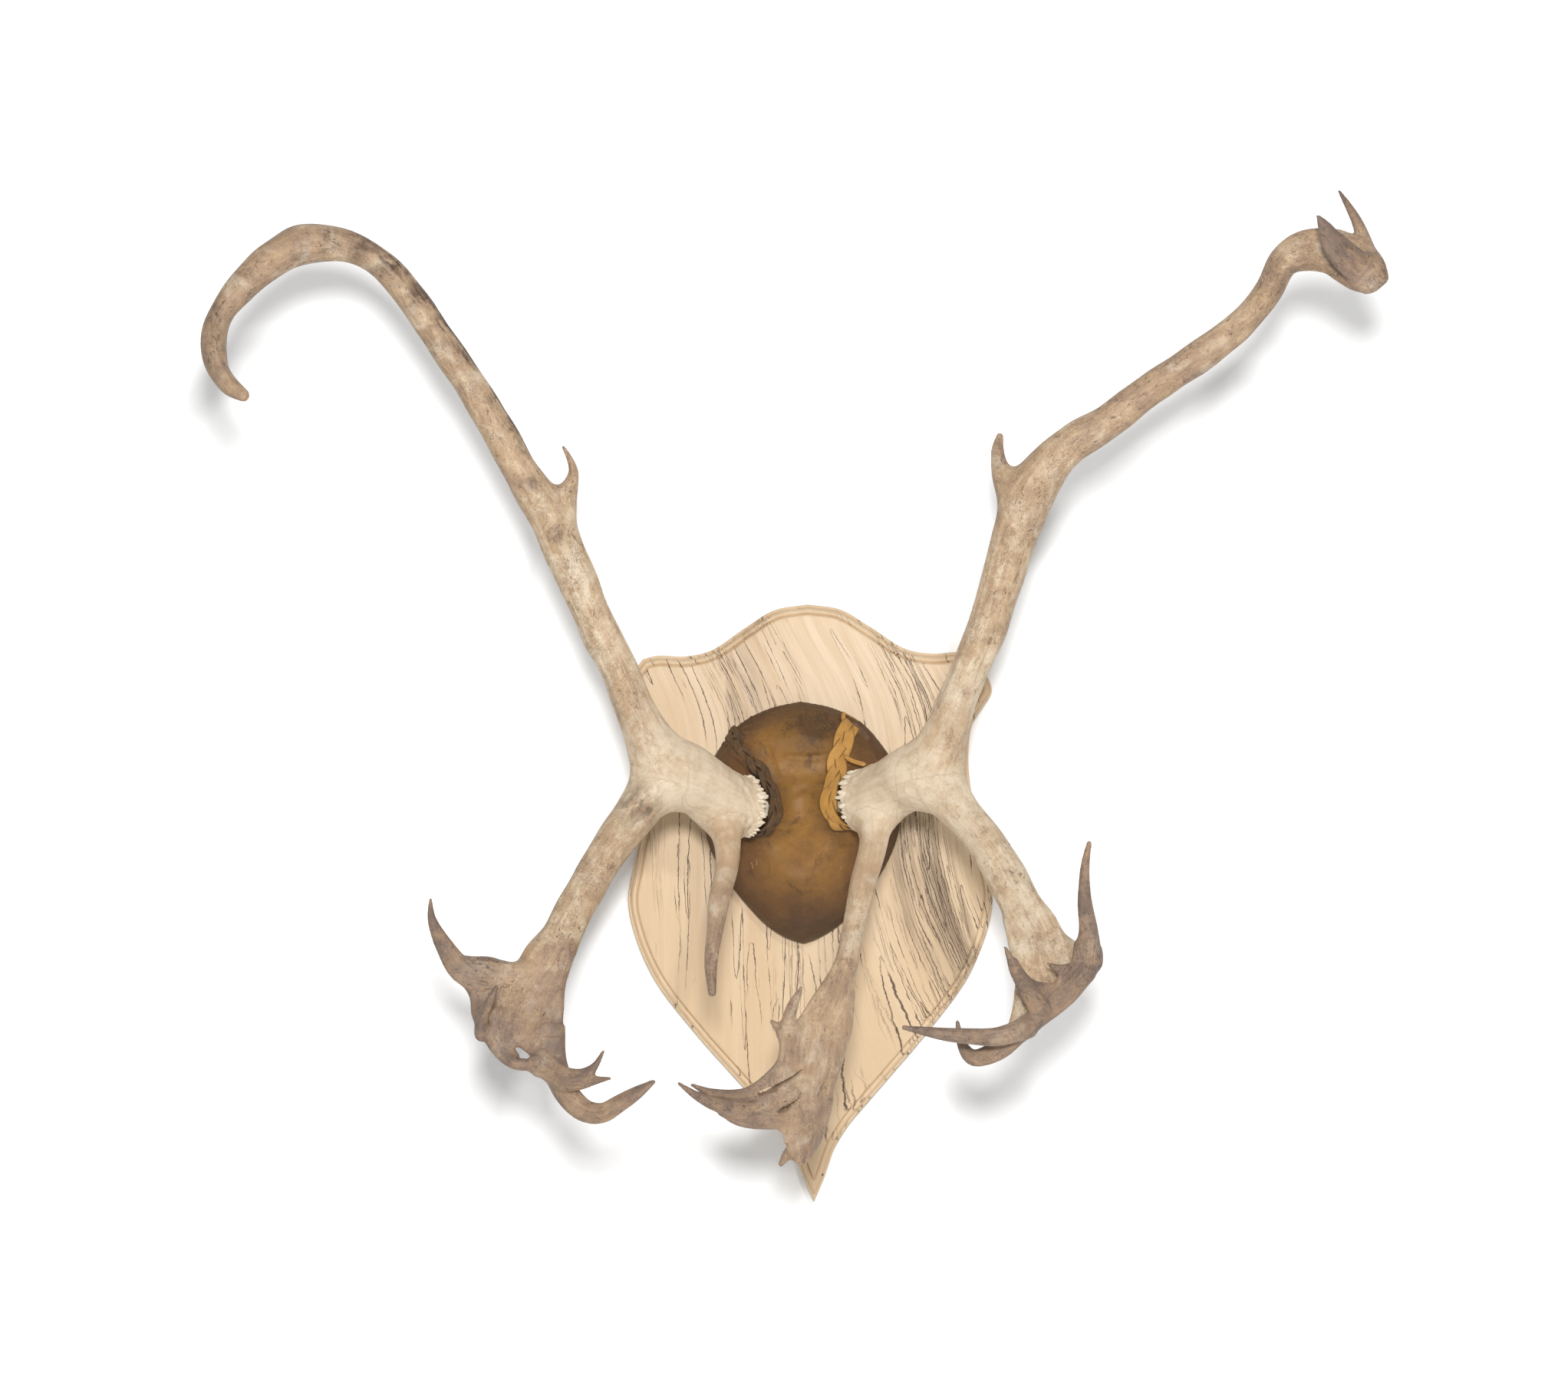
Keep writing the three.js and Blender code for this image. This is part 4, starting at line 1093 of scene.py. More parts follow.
def screwProfile(size, grow=0.0):
    # with grow it is the hole that the screw fills
    sunk, head, shank, length = size["sunk"], size["head"], size["shank"], size["length"]
    top = -1.0 if grow else sunk
    profile = [(top, head + grow), (sunk + 0.45, head + grow), (sunk + size["headLength"], shank + grow)]
    if grow:
        return profile + [(length, shank + grow)]
    thread = sunk + size["headLength"] + 1.5
    profile.append((thread, shank))
    while thread < length - 6:
        profile += [(thread + rise, shank * share) for rise, share in screwThread]
        thread += screwThread[-1][0]
    return profile + [(length - 3, shank * 0.8), (length, 0.5)]


def shieldPiece(material):
    outline = shieldOutline()
    rings = [np.insert(insetRing(outline, inset), 1, -depth, axis=1) for inset, depth in shieldValues["edge"]]

    def build(shape):
        rows = [[shape.verts.new(Vector(p) * mm) for p in ring] for ring in rings]
        count = len(outline)
        for low, high in zip(rows, rows[1:]):
            for j in range(count):
                k = (j + 1) % count
                shape.faces.new((low[j], low[k], high[k], high[j])).smooth = True
        bmesh.ops.remove_doubles(shape, verts=shape.verts, dist=0.02 * mm)
        for atWall in (True, False):
            ends = [e for e in shape.edges if e.is_boundary and (e.verts[0].co.y > -0.01) == atWall]
            bmesh.ops.contextual_create(shape, geom=ends)
        bmesh.ops.recalc_face_normals(shape, faces=shape.faces)
        bmesh.ops.triangulate(shape, faces=[f for f in shape.faces if len(f.verts) > 4])

    h = hangerValues
    gap = h["gap"]
    pocketWidth, pocketDepth, pocketHeight = h["pocket"]

    def recess(wide, high, deep, out):
        # a box cut into the back at the hanger, from half its width and half its height
        low, top = (-wide, -deep, h["z"] - high), (wide, out, h["z"] + high)
        return meshFrom(lambda shape: cutterBox(shape, low, top))

    cutters = [
        recess(h["width"] / 2 + gap, h["height"] / 2 + gap, h["sunk"] + h["thickness"] + gap, 1),
        recess(pocketWidth / 2, pocketHeight / 2, pocketDepth, 0.9),
    ]
    for size in screwValues.values():
        for x, z in size["places"].values():
            hole = screwProfile(size, gap)
            cutters.append(meshFrom(lambda shape: lathe(shape, hole, (x, 0, z), (0, -1, 0), 32)))
    mesh = carved(meshFrom(build), cutters)
    for face in mesh.polygons:
        face.use_smooth = len(face.vertices) == 4 and face.area < 1e-5
    mesh.set_sharp_from_angle(angle=math.radians(32))
    placeMesh("shieldBoard", mesh, material, ["shield"])
    print("shield made,", len(mesh.polygons), "faces")


mapleLooks = {
    "light": (0.62, 0.47, 0.305),
    "warm": (0.54, 0.38, 0.225),
    "streak": (0.5, 0.33, 0.185),
    "spalt": (0.085, 0.047, 0.026),
    "grey": (0.25, 0.17, 0.1),
    # the shade painted inside the worm holes
    "hole": (0.05, 0.03, 0.02),
    # where the dark lines crowd together: middle [x, z], half width, half height, strength
    "zones": [
        (-55, 185, 24, 75, 1.0), (2, 232, 14, 55, 0.9), (104, 195, 26, 60, 0.9), (62, -85, 34, 90, 0.9),
        (-20, -70, 16, 60, 0.6), (20, -205, 14, 60, 0.7), (-137, 60, 8, 80, 0.5), (99, 20, 25, 105, 1.3),
    ],
}


def mapleMaterial():
    material = newMaterial("spaltedMaple")
    looks = mapleLooks
    place = objectCoords()
    x, y, z = axesOf(place)
    lean = soft(x, -0.02, 0.13, 0.26)  # the grain fans out towards the lower right
    low = soft(z, 0.16, -0.12)
    slide = times(lean, low, minus(z, 0.1))
    topLean = times(soft(z, 0.12, 0.26, 0.32), minus(z, 0.12))
    warped = plus(x, slide, topLean)
    boards = vectorOf(warped, y, z)
    wobble = noiseOf(scaled(boards, (1, 1, 0.3)), 34, 5, 0.6)
    jitter = noiseOf(boards, 200, 4, 0.7)
    bent = plus(warped, fit(wobble, 0.0, 1.0, -0.006, 0.006), fit(jitter, 0.0, 1.0, -0.0011, 0.0011))
    squiggle = vectorOf(bent, y, z)

    broad = noiseOf(scaled(boards, (1, 1, 0.1)), 26, 3, 0.5)
    grain = noiseOf(scaled(boards, (1, 1, 0.04)), 260, 5, 0.62, 0.2)
    pores = noiseOf(scaled(boards, (1, 1, 0.035)), 900, 2, 0.6)
    curl = noiseOf(scaled(boards, (0.5, 1, 1.6)), 46, 2, 0.5)
    colour = rampOf(broad, [(0.3, looks["warm"]), (0.62, looks["light"])])
    colour = blendColour(fit(grain, 0.42, 0.72, 0.0, 0.3), colour, looks["streak"])
    colour = blendColour(fit(pores, 0.55, 0.75, 0.0, 0.22), colour, looks["streak"])
    colour = blendColour(fit(curl, 0.35, 0.65, 0.0, 0.12), colour, looks["light"])

    # greyer streaked zones: beside the seam at the left, and the dark patch at the right
    seam = times(fit(x, -0.0752, -0.0745), soft(x, -0.03, -0.058), soft(z, 0.13, 0.19))
    far = distanceTo(scaled(squiggle, (1, 0, 0.4)), (0.098, 0.0, 0.0))
    patch = soft(far, 0.05, 0.014)
    dusk = noiseOf(scaled(squiggle, (1, 1, 0.07)), 105, 5, 0.65)
    patchShare = times(patch, fit(dusk, 0.4, 0.6, 0.05, 1.0, True), clamp=True)
    seamShare = times(seam, fit(dusk, 0.42, 0.62, 0.1, 0.6, True), clamp=True)
    colour = blendColour(times(larger(patchShare, seamShare), 0.82), colour, looks["grey"])

    # spalt: thin dark contour lines of a stretched noise, in loose clusters
    def spaltLines(stretch, scale, count, width, seed):
        # lines of even width: how far off a contour is, over how steep the noise is there
        def noiseAt(move):
            shifted = scaled(squiggle, (1, 1, stretch), shift=(seed + move, 0.3 * seed, 0.7 * seed))
            return noiseOf(shifted, scale, 2, 0.45)

        step = 0.0004
        here, beside = noiseAt(0), noiseAt(step)
        steep = maths("DIVIDE", sizeOf(minus(beside, here)), step)
        level = maths("FRACT", times(here, count))
        off = maths("DIVIDE", sizeOf(minus(level, 0.5)), count)
        away = maths("DIVIDE", off, larger(steep, 0.2))
        return fit(away, 0.35 * width, width, 1.0, 0.0, True)

    wide = noiseOf(scaled(boards, (1, 1, 0.3), shift=(3.1, 0, 1.7)), 24, 3, 0.6)
    broken = noiseOf(scaled(squiggle, (1, 1, 0.16)), 210, 4, 0.7)
    first = times(spaltLines(0.05, 22, 7, 0.0006, 1.3), soft(wide, 0.42, 0.5))
    second = times(spaltLines(0.07, 48, 5, 0.0005, 4.1), soft(wide, 0.5, 0.6))
    crowded = 0.0
    for middleX, middleZ, halfWidth, halfHeight, strength in looks["zones"]:
        across = times(minus(bent, middleX * mm), 1 / (halfWidth * mm))
        along = times(minus(z, middleZ * mm), 1 / (halfHeight * mm))
        far = plus(maths("POWER", sizeOf(across), 2.0), maths("POWER", sizeOf(along), 2.0))
        crowded = larger(crowded, soft(far, 1.15, 0.3, strength))
    third = times(spaltLines(0.03, 70, 9, 0.00045, 7.7), crowded)
    fourth = times(spaltLines(0.035, 140, 6, 0.0004, 2.9), crowded, fit(wide, 0.4, 0.55, 0.2, 1.0))
    lines = times(larger(first, second, third, fourth), fit(broken, 0.36, 0.5, 0.2, 1.0, True))
    colour = blendColour(lines, colour, looks["spalt"])

    # painted shade: the worm holes have no depth in the mesh, so dark discs stand in for the shade inside them
    for holeX, holeZ in shieldValues["wormHoles"]:
        gap = distanceTo(scaled(place, (1, 0, 1)), (holeX * mm, 0, holeZ * mm))
        colour = blendColour(fit(gap, 0.0007, 0.0014, 0.9, 0.0), colour, looks["hole"])

    height = plus(times(grain, 0.5), times(pores, 0.35))
    height = minus(height, times(lines, 0.35))
    normal = bumpOf(height, 0.22, 0.0006)
    rough = ranged(grain, 0.42, 0.56)
    shaderOf(colour, rough, normal, specular=0.4)
    return material


shieldPiece(mapleMaterial())

coverValues = {
    "middle": -7,
    "peak": 84,
    "seat": 22.3,
    "height": 56,
    "outline": [
        [0, 183], [28, 177], [54, 164], [70, 147], [84, 124], [89, 96], [87, 62], [76, 34], [57, 6],
        [32, -21], [12, -33], [0, -37],
    ],
    # share of the height at each share of the way out to the outline
    "rise": [(0, 1), (0.26, 0.98), (0.5, 0.91), (0.7, 0.79), (0.85, 0.62), (0.94, 0.42), (0.985, 0.2), (1, 0)],
    "thickness": 2.7,
    "collar": 18,
    "collarLength": 62,
    "collarEnd": 6,
    "tent": 16,  # fillet between dome and collars
    "seed": 21,
}


def shareOut(x, z):
    # how far out a point lies between the dome's peak and its outline, and the outline's distance there
    half = np.array(coverValues["outline"], float)
    rim = splineAt(half, np.linspace(0, len(half) - 1, 300), 2)
    turn = np.arctan2(rim[:, 0], rim[:, 1] - coverValues["peak"])
    reach = np.hypot(rim[:, 0], rim[:, 1] - coverValues["peak"])
    dx, dz = np.abs(x - coverValues["middle"]), z - coverValues["peak"]
    rimHere = np.interp(np.arctan2(dx, dz), turn, reach)
    return np.hypot(dx, dz) / rimHere, rimHere


def domeDepth(x, z):
    share, _ = shareOut(x, z)
    outs, rises = zip(*coverValues["rise"])
    return coverValues["seat"] + coverValues["height"] * np.interp(share, outs, rises)


def coverField():
    v = coverValues
    low = np.array([v["middle"] - 100, -100, -46.0])
    high = np.array([v["middle"] + 100, -v["seat"] + 6, 192.0])
    field = newField(low, high, skinValues["leatherCell"])
    _, x, y, z = window(field, low - 5, high + 5)
    share, rimHere = shareOut(x, z)
    outs, rises = zip(*v["rise"])
    lift = (-y - v["seat"]) / v["height"]
    rise = np.interp(share, outs, rises)
    over = (lift - rise) * v["height"]
    limit = np.interp(np.clip(lift, 0, 1), rises[::-1], outs[::-1])
    beside = (share - limit) * rimHere
    size = np.sqrt(over**2 + beside**2)
    dome = np.sign(over) * np.abs(over * beside) / np.maximum(size, 1e-3)
    field["values"][:] = np.where(lift > 1, over, np.where(lift < 0, beside, dome))
    return field


def surfaceStations(rows):
    # rows of [x, z, raise, half width, half thickness] laid on the dome
    def depth(x, z):
        return float(domeDepth(np.array(x), np.array(z)))

    return [[x, -depth(x, z) - lift, z, wide, thick] for x, z, lift, wide, thick in rows]


# Laps and rolls of the leather: fillet, and rows of x, z, raise, half width and half thickness
coverLaps = [
    (2.5, "-47 169 -1 7 1.8, -47 158 1 8 2.2, -44 145 1.4 8 2.4, -37 128 1.4 7 2.4, -31 114 0.8 5 1.8"),
    (2.5, "-60 158 -1 5 1.8, -55 152 1.6 6 2.4, -50 141 2.4 6 2.6, -42 127 2 5 2.2"),
    (2, "-78 143 0 5 1.8, -70 141 1.2 5 2.2, -60 134 1.6 5 2.4, -52 124 1 4 2"),
    (3, "31 170 0 3 1.6, 38 162 1.2 6 2.2, 46 156 1.2 6 2.2, 53 148 0.8 5 1.8"),
    (2, "-20 134 0 2 0.8, -6 132 0.5 3 1.1, 10 133 0.4 3 1, 20 136 0 2 0.8"),
]


def coverPiece(material):
    v = coverValues
    field = coverField()
    for blend, lap in coverLaps:
        addLimb(field, limbOf(surfaceStations(rowsOf(lap))), blend)
    feet = [(np.array(a["foot"], float), axisOf(a["side"]), a["side"]) for a in (leftAntler, rightAntler)]
    flare = ((0, 0), (14, 0), (30, 1), (v["collarLength"], 2))  # distance back from the antler, extra radius
    for foot, axis, _ in feet:
        collar = [[*(foot - axis * back), v["collar"] + extra] for back, extra in flare]
        addLimb(field, limbOf(collar), v["tent"])
    _, x, y, z = window(field, field["low"] - 5, field["low"] + 400)
    values = field["values"]
    shell = np.maximum(values, -(values + v["thickness"]))
    shell = np.maximum(shell, y + v["seat"])
    for foot, axis, _ in feet:
        dx, dy, dz = x - foot[0], y - foot[1], z - foot[2]
        along = dx * axis[0] + dy * axis[1] + dz * axis[2]
        beyond = (along > -v["collarEnd"] - 14) & (dx**2 + dy**2 + dz**2 - along**2 < (v["collar"] + 12) ** 2)
        shell = np.where(beyond, np.maximum(shell, along + v["collarEnd"]), shell)
    field["values"] = shell.astype(np.float32)
    points, quads = skinOf(field)
    points = relaxed(points, quads)
    normals = vertexNormals(points, quads)
    share, _ = shareOut(points[:, 0], points[:, 2])
    outer = smoothStep(-0.3, 0.3, -normals[:, 1] + 0.3 * (share > 0.9))
    slow = waves(points, v["seed"], 22, 60, 9)
    # pucker is the folds that fan out round each collar; the cuff shade is how near a point lies to the
    # collar's end, where the leather gets painted shade under the burr
    pucker = np.zeros(len(points))
    cuffShade = np.zeros(len(points))
    for foot, axis, side in feet:
        away = points - foot
        along = away @ axis
        out = away - along[:, None] * axis
        radius = np.linalg.norm(out, axis=1)
        _, across, level = axisFrame(side)
        turn = np.arctan2(out @ level, out @ across)
        folds = np.sin(9 * turn + 1.3 * side) + 0.6 * np.sin(14 * turn + 0.12 * along)
        near = smoothStep(52, 24, radius) * smoothStep(-62, -30, along)
        pucker += folds * near
        cuffShade = np.maximum(cuffShade, smoothStep(40, 22, radius) * smoothStep(-50, -12, along))
    outer = outer * smoothStep(v["seat"], v["seat"] + 5, -points[:, 1])
    points = points + normals * ((slow * 0.45 + pucker * 0.5) * outer)[:, None]
    attributes = {"out": share, "cuffShade": cuffShade}
    newPiece("leatherCover", points, quads.tolist(), material, ["leather_cover"], attributes)
    print("leather cover made,", len(quads), "faces")


leatherLooks = {
    "gold": (0.26, 0.125, 0.026),
    "brown": (0.115, 0.054, 0.019),
    # dark leather, also used as painted shade round the collars under the burrs
    "burntAndShade": (0.045, 0.025, 0.013),
    "scuff": (0.34, 0.21, 0.08),
}


def coverMaterial():
    material = newMaterial("burnishedLeather")
    looks = leatherLooks
    place = objectCoords()
    x, _, z = axesOf(place)
    # the cuff value is painted shade under the burrs, not a colour of the leather
    out, cuffShade = pieceValue("out"), pieceValue("cuffShade")
    cloud = noiseOf(place, 22, 5, 0.6, 0.3)
    mottle = noiseOf(place, 85, 5, 0.65)
    fine = noiseOf(place, 620, 3, 0.6)
    pebble = spots(place, 820)
    middle = sizeOf(minus(x, -0.004))
    # a golden band down the middle with darker sides: mostly the leather's own colour, partly painted shade on
    # the sides, standing in for a low middle ridge the dome doesn't have
    golden = times(
        soft(plus(middle, ranged(cloud, -0.018, 0.018)), 0.062, 0.016),
        fit(out, 1.02, 0.7, 0.15, 1.0, True),
        fit(z, -0.03, 0.07, 0.12, 1.0, True),
    )
    colour = blendColour(golden, looks["brown"], looks["gold"])
    spot = distanceTo(scaled(place, (0.7, 0, 1)), (0.004, 0, 0.161))
    spot = soft(plus(spot, ranged(mottle, -0.014, 0.014)), 0.034, 0.004, 0.85)
    bottom = soft(plus(z, ranged(cloud, -0.02, 0.02)), 0.024, -0.024, 0.75)
    rim = soft(plus(out, ranged(mottle, -0.08, 0.08)), 0.82, 1.04, 0.8)
    blotch = noiseOf(scaled(place, (1, 1, 0.8), shift=(0.4, 0.1, 0.9)), 48, 6, 0.7, 0.5)
    # darker: a stain near the top, random blotches, towards the bottom and the outline, and painted shade
    # round the collars under the burrs
    dark = larger(spot, bottom, rim, times(cuffShade, 0.55), soft(blotch, 0.53, 0.7, 0.75))
    colour = blendColour(dark, colour, looks["burntAndShade"])
    colour = blendColour(fit(mottle, 0.4, 0.7, 0.0, 0.55), colour, looks["brown"])
    flecks = times(fit(fine, 0.56, 0.72), fit(cloud, 0.45, 0.6, 0.15, 0.55))
    colour = blendColour(flecks, colour, looks["gold"])
    nicks = fit(noiseOf(place, 380, 3, 0.6), 0.66, 0.74, 0.0, 0.75)
    colour = blendColour(nicks, colour, looks["burntAndShade"])
    scuffs = fit(noiseOf(scaled(place, (1, 1, 0.35), (0, 0.6, 0)), 260, 2, 0.5, 1.2), 0.7, 0.76, 0.0, 0.6)
    scuffs = times(scuffs, fit(noiseOf(place, 30, 2, 0.5), 0.52, 0.62))
    colour = blendColour(scuffs, colour, looks["scuff"])
    height = plus(times(pebble, 0.7), times(fine, 0.5))
    normal = bumpOf(mottle, 0.25, 0.0009)
    normal = bumpOf(height, 0.3, 0.0005, normal)
    rough = ranged(mottle, 0.45, 0.62)
    shaderOf(colour, rough, normal, specular=0.26)
    return material


coverPiece(coverMaterial())

braidValues = {
    # how a braid comes over the cover: distance from the midline, height over the cover, z
    "starts": {
        -1: [[64, 2, 156], [55, 3, 146], [42, 4, 129]],
        1: [[45, -2, 167], [43, 2.5, 160], [38, 4, 148], [33, 4, 132]],
    },
    "ringDegrees": [58, 25, -10, -45, -80, -115, -145],
    "ringRadius": 22,
    "ringStation": 15,
    "left": {"period": 70, "sway": 4.0, "half": 3.9, "thick": 1.1, "lift": 1.5, "phase": 0.6},
    "right": {"period": 84, "sway": 4.5, "half": 5.4, "thick": 1.05, "lift": 1.45, "phase": 2.2},
}


def braidPath(antler):
    v = braidValues
    side = antler["side"]
    foot = np.array(antler["foot"], float)
    axis, _, level = axisFrame(side)
    centre = foot - axis * v["ringStation"]
    towards = np.cross(level, axis) * side
    ring = []
    for turn in np.radians(v["ringDegrees"]):
        out, up = v["ringRadius"] * math.cos(turn), v["ringRadius"] * math.sin(turn)
        ring.append(centre - towards * out + level * up)
    starts = [[coverValues["middle"] + side * x, z, lift, 0, 0] for x, lift, z in v["starts"][side]]
    rows = np.array([row[:3] for row in surfaceStations(starts)] + ring)
    fine = splineAt(rows, np.linspace(0, len(rows) - 1, 600))
    length = lengthAlong(fine)
    even = np.linspace(0, length[-1], 180)
    middle = np.stack([np.interp(even, length, fine[:, i]) for i in range(3)], axis=1)
    tangent = unit(np.gradient(middle, axis=0))
    fromAxis = middle - centre
    fromAxis = unit(fromAxis - np.outer(fromAxis @ axis, axis))
    share = smoothStep(0.25, 0.5, np.linspace(0, 1, len(middle)))[:, None]
    flat = unit(np.array([side * 0.35, -1.0, 0.35])) * (1 - share) + fromAxis * share
    flat = unit(flat - tangent * (flat * tangent).sum(1)[:, None])
    return middle, flat, np.cross(flat, tangent), even


def ribbon(centre, flatWay, half, thick, sides, offset):
    # a flat leather strand along its centre line, closed at both ends; offset numbers its first point
    tangent = unit(np.gradient(centre, axis=0))
    across = unit(np.cross(flatWay, tangent))
    up = np.cross(tangent, across)
    turn = 2 * math.pi * np.arange(sides) / sides
    flatness = 0.6  # below 1 the section is a rounded rectangle
    wide = np.sign(np.cos(turn)) * np.abs(np.cos(turn)) ** flatness
    high = np.sign(np.sin(turn)) * np.abs(np.sin(turn)) ** flatness
    taper = np.minimum(1, np.minimum(np.arange(len(centre)), np.arange(len(centre))[::-1]) / 3 + 0.35)
    rows = centre[:, None, :] + across[:, None, :] * (wide * half)[None, :, None] * taper[:, None, None]
    rows = rows + up[:, None, :] * (high * thick)[None, :, None] * taper[:, None, None]
    faces = []
    for i in range(len(centre) - 1):
        for j in range(sides):
            k = (j + 1) % sides
            a, b = offset + i * sides, offset + (i + 1) * sides
            faces.append([a + j, b + j, b + k, a + k])
    faces.append([offset + j for j in range(sides)])
    last = offset + (len(centre) - 1) * sides
    faces.append([last + j for j in reversed(range(sides))])
    return rows.reshape(-1, 3), faces, np.tile(np.abs(wide), len(centre))


def braidPiece(name, antler, values, material, replaced, extras):
    middle, flat, across, along = braidPath(antler)
    rng = np.random.default_rng(7 + antler["side"])
    strands = []
    for strand in range(3):
        phase = 2 * math.pi * (along / values["period"] + strand / 3) + values["phase"]
        phase = phase + 0.15 * np.sin(along / 17 + rng.uniform(0, 6))
        sway = values["sway"] * (1 + 0.08 * np.sin(along / 11 + strand)) * np.sin(phase)
        lift = values["lift"] * np.sin(2 * phase) + 0.6
        centre = middle + across * sway[:, None] + flat * lift[:, None]
        strands.append((centre, flat, values["half"], values["thick"], 16))
    for stations, half, thick in extras:
        path = splineAt(stations, np.linspace(0, len(stations) - 1, 24))
        strands.append((path, np.tile([0.1, -1.0, 0.3], (24, 1)), half, thick, 12))
    points, faces, rims, total = [], [], [], 0
    for strand in strands:
        rows, quads, rim = ribbon(*strand, total)
        points.append(rows)
        rims.append(rim)
        faces += quads
        total += len(rows)
    attributes = {"rim": np.concatenate(rims)}
    newPiece(name, np.concatenate(points), faces, material, replaced, attributes)
    print(name, "made")


def braidMaterial(name, main, deep, rub):
    material = newMaterial(name)
    place = objectCoords()
    cloud = noiseOf(place, 60, 4, 0.6)
    mottle = noiseOf(place, 260, 4, 0.65)
    fine = noiseOf(place, 900, 2, 0.6)
    pebble = spots(place, 1100)
    colour = blendColour(ranged(cloud, 0.0, 0.75), main, deep)
    colour = blendColour(fit(mottle, 0.45, 0.75, 0.0, 0.5), colour, rub)
    # painted shade: each strand darkens towards its edges, where the strands tuck under each other
    creaseShade = soft(plus(pieceValue("rim"), ranged(mottle, -0.08, 0.08)), 0.72, 1.0, 0.85)
    colour = blendColour(creaseShade, colour, tuple(0.35 * c for c in deep))
    normal = bumpOf(mottle, 0.25, 0.0005)
    normal = bumpOf(plus(pebble, fine), 0.25, 0.0003, normal)
    shaderOf(colour, ranged(mottle, 0.45, 0.62), normal, specular=0.28)
    return material


# the right braid's loose end: stations, half width, half thickness
tanStrand = [([[31, -73, 134], [37, -79, 130], [44, -82, 127.5], [50, -83, 126]], 2.2, 0.9)]
# main, deep and rubbed colours of the strands
braidLooks = {
    "dark": [(0.1, 0.055, 0.024), (0.045, 0.026, 0.014), (0.2, 0.105, 0.035)],
    "tan": [(0.48, 0.25, 0.06), (0.32, 0.155, 0.035), (0.56, 0.32, 0.1)],
}
darkLeather = braidMaterial("darkBraidLeather", *braidLooks["dark"])
tanLeather = braidMaterial("tanBraidLeather", *braidLooks["tan"])
braidPiece("leftBraid", leftAntler, braidValues["left"], darkLeather, ["left_braid"], [])
braidPiece(
    "rightBraid", rightAntler, braidValues["right"], tanLeather, ["right_braid"], tanStrand
)


def skullMaterial():
    material = newMaterial("skullBone")
    place = objectCoords()
    cloud = noiseOf(place, 30, 5, 0.6)
    pores = fit(spots(place, 700), 0.1, 0.3, 1.0, 0.0, True)
    colour = rampOf(cloud, [(0.3, (0.62, 0.52, 0.37)), (0.7, (0.78, 0.7, 0.56))])
    colour = blendColour(times(pores, 0.4), colour, (0.35, 0.26, 0.16))
    normal = bumpOf(minus(cloud, pores), 0.3, 0.0006)
    shaderOf(colour, ranged(cloud, 0.55, 0.75), normal)
    return material


def steelMaterial():
    material = newMaterial("zincSteel")
    place = objectCoords()
    flake = spots(place, 500)
    brushed = noiseOf(scaled(place, (1, 1, 0.08)), 1500, 3, 0.6)
    dull = noiseOf(place, 140, 4, 0.6)
    colour = rampOf(flake, [(0.1, (0.58, 0.58, 0.56)), (0.7, (0.74, 0.74, 0.72))])
    colour = blendColour(fit(dull, 0.5, 0.75, 0.0, 0.4), colour, (0.4, 0.39, 0.36))
    normal = bumpOf(brushed, 0.15, 0.0002)
    shaderOf(colour, ranged(dull, 0.26, 0.45), normal, metallic=1.0)
    return material


def screwPiece(name, place, size, material, replaced):
    x, z = place
    mesh = meshFrom(lambda shape: lathe(shape, screwProfile(size), (x, 0, z), (0, -1, 0), 40))
    arm, slot, sunk = size["head"] * 0.55, size["head"] * 0.13, size["sunk"]
    cross = [((arm, slot), 1.6), ((slot, arm), 1.6)]
    cutters = []
    for (a, b), deep in cross:
        low, high = (x - a, -sunk - deep, z - b), (x + a, 1, z + b)
        cutters.append(meshFrom(lambda shape: cutterBox(shape, low, high)))
    mesh = carved(mesh, cutters)
    mesh.set_sharp_from_angle(angle=math.radians(30))
    placeMesh(name, mesh, material, [replaced])


def closedLine(curve, points):
    line = curve.splines.new("POLY")
    line.points.add(len(points) - 1)
    for point, (x, z) in zip(line.points, points):
        point.co = (x * mm, z * mm, 0, 1)
    line.use_cyclic_u = True


def arc(cx, cz, radius, start, stop, count):
    turns = np.radians(np.linspace(start, stop, count))
    return [(cx + radius * math.cos(turn), cz + radius * math.sin(turn)) for turn in turns]


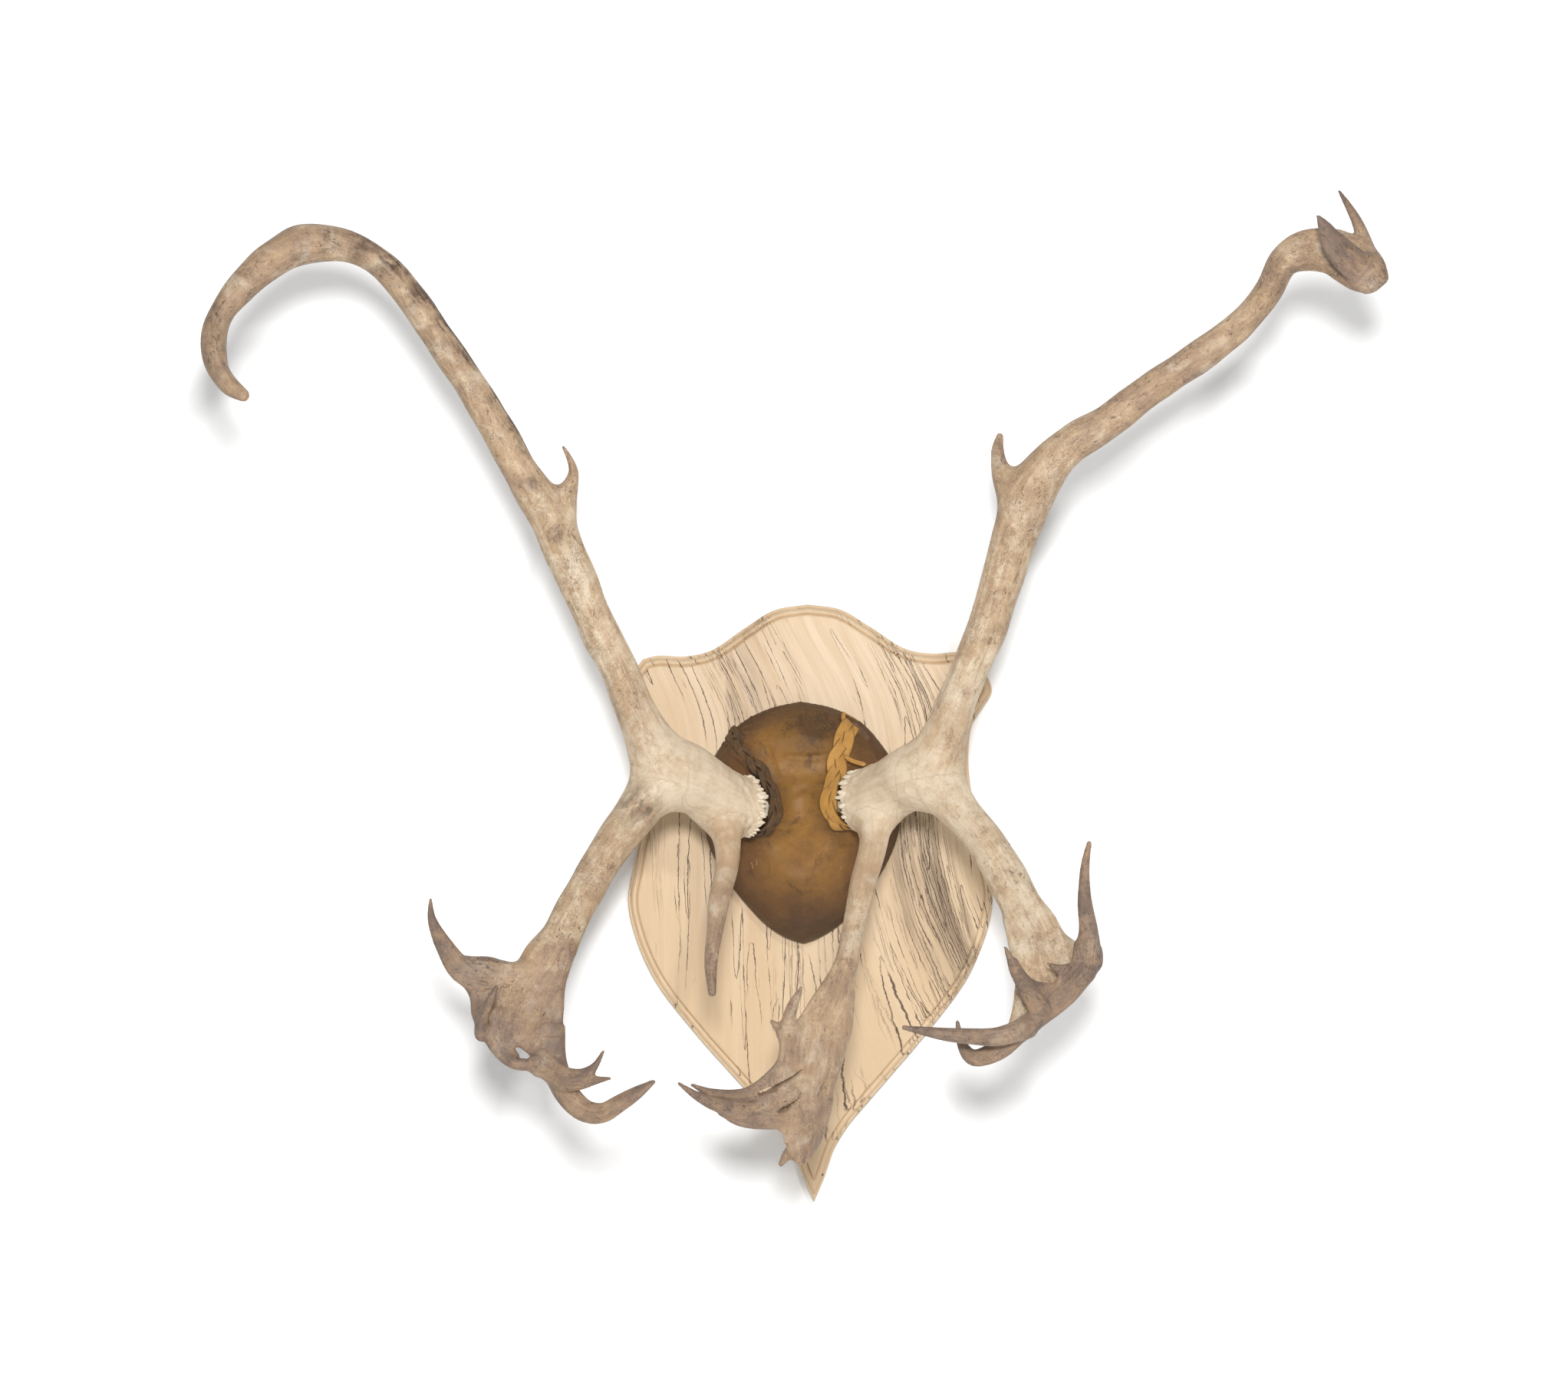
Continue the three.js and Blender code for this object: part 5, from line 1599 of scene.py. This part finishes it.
def hangerPiece(material):
    h = hangerValues
    w, t, c = h["width"] / 2, h["height"] / 2, h["corner"]
    curve = bpy.data.curves.new("hangerOutline", "CURVE")
    curve.dimensions, curve.fill_mode = "2D", "BOTH"
    bevel = 0.25
    curve.extrude = (h["thickness"] / 2 - bevel) * mm
    curve.bevel_depth, curve.bevel_resolution, curve.offset = bevel * mm, 2, -bevel * mm
    corners = []
    for quarter, (right, up) in enumerate(((1, 1), (-1, 1), (-1, -1), (1, -1))):
        corners += arc(right * (w - c), up * (t - c), c, 90 * quarter, 90 * quarter + 90, 9)
    closedLine(curve, corners)
    half = h["slotWidth"] / 2
    meets = math.degrees(math.asin(half / h["entryRadius"]))
    slotEnd = arc(0, h["slotTop"] - half, half, 0, 180, 16)
    closedLine(curve, slotEnd + arc(0, h["entryZ"], h["entryRadius"], 90 + meets, 450 - meets, 40))
    for z in (h["screwZ"], -h["screwZ"]):
        closedLine(curve, arc(0, z, h["screwHole"], 0, 348, 30))
    plate = addObject("hangerCurve", curve)
    bpy.context.view_layer.update()
    mesh = bpy.data.meshes.new_from_object(plate.evaluated_get(bpy.context.evaluated_depsgraph_get()))
    bpy.data.objects.remove(plate)
    middle = -(h["sunk"] + h["thickness"] / 2) * mm
    mesh.transform(Matrix.Translation((0, middle, h["z"] * mm)) @ Matrix.Rotation(math.pi / 2, 4, "X"))
    tidy = bmesh.new()
    tidy.from_mesh(mesh)
    bmesh.ops.remove_doubles(tidy, verts=tidy.verts, dist=0.01 * mm)
    bmesh.ops.recalc_face_normals(tidy, faces=tidy.faces)
    tidy.to_mesh(mesh)
    tidy.free()
    mesh.set_sharp_from_angle(angle=math.radians(30))
    placeMesh("hangerPlate", mesh, material, ["hanger_plate"])


steel = steelMaterial()
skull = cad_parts["skull_plate"]
skull.data.materials.clear()
skull.data.materials.append(skullMaterial())
for kind, size in screwValues.items():
    for place, spot in size["places"].items():
        screwPiece(f"{kind}Screw{place.capitalize()}", spot, size, steel, f"{kind}_screw_{place}")
hangerPiece(steel)
print("fixings made")

roomValues = {
    "cameraPlace": (-0.022, -3.2, 0.188),
    "frameWidth": 1.4308,  # what the picture spans at the wall
    "roll": math.radians(0.66),
    "wallColour": (0.93, 0.93, 0.925),
    "floorZ": -1.15,
    "key": {"place": (0.6, -3.1, 1.5), "size": 0.24, "power": 26},
    "fill": {"place": (0.0, -3.25, 0.62), "size": 0.36, "power": 78},
    "lightAim": (0, -0.15, 0.1),
    "sky": 0.27,
    "wallY": 0.0015,
    # the clear oval behind the shield: half width, half height, middle z
    "clearSpot": (0.11, 0.16, 0.06),
}


def makeCamera():
    data = bpy.data.cameras.new("camera")
    data.sensor_width = 36
    data.lens = 36 * -roomValues["cameraPlace"][1] / roomValues["frameWidth"]
    camera = addObject("camera", data)
    c, s = math.cos(roomValues["roll"]), math.sin(roomValues["roll"])
    turn = Matrix(((c, s, 0), (0, 0, -1), (-s, c, 0)))
    camera.matrix_world = Matrix.Translation(roomValues["cameraPlace"]) @ turn.to_4x4()
    bpy.context.scene.camera = camera


def makeLight(name, values):
    data = bpy.data.lights.new(name, "AREA")
    data.shape, data.size, data.energy = "DISK", values["size"], values["power"]
    light = addObject(name, data)
    light.location = values["place"]
    aim = Vector(roomValues["lightAim"]) - light.location
    light.rotation_euler = aim.to_track_quat("-Z", "Y").to_euler()


def flatSheet(name, corners, material):
    mesh = bpy.data.meshes.new(name)
    mesh.from_pydata(corners, [], [(0, 1, 2, 3)])
    mesh.materials.append(material)
    addObject(name, mesh)


def wallMaterial():
    # plain pale paint; clear seen from behind, and behind the shield so that light reaches its back
    material = newMaterial("wallPaint")
    paint = addNode("ShaderNodeBsdfDiffuse", {"Color": (*roomValues["wallColour"], 1)})
    clear = addNode("ShaderNodeBsdfTransparent")
    behind = addNode("ShaderNodeNewGeometry").outputs["Backfacing"]
    halfWidth, halfHeight, middleZ = roomValues["clearSpot"]
    off = distanceTo(scaled(objectCoords(), (1 / halfWidth, 0, 1 / halfHeight)), (0, 0, middleZ / halfHeight))
    clearShare = larger(behind, maths("LESS_THAN", off, 1.0))
    mixed = addNode("ShaderNodeMixShader", {"Fac": clearShare, 1: paint.outputs[0], 2: clear.outputs[0]})
    addNode("ShaderNodeOutputMaterial", {"Surface": mixed.outputs[0]})
    return material


makeCamera()
makeLight("keyLight", roomValues["key"])
makeLight("fillLight", roomValues["fill"])
wallY, floorZ = roomValues["wallY"], roomValues["floorZ"]
paint = wallMaterial()
flatSheet("wallSheet", [(-4, wallY, floorZ), (4, wallY, floorZ), (4, wallY, 3), (-4, wallY, 3)], paint)
flatSheet("floorSheet", [(-4, -6, floorZ), (4, -6, floorZ), (4, 4, floorZ), (-4, 4, floorZ)], paint)
world = bpy.data.worlds.new("studio")
world.use_nodes = True
world.node_tree.nodes["Background"].inputs["Color"].default_value = (1, 1, 1, 1)
world.node_tree.nodes["Background"].inputs["Strength"].default_value = roomValues["sky"]
bpy.context.scene.world = world
bpy.context.scene.view_settings.view_transform = "Standard"
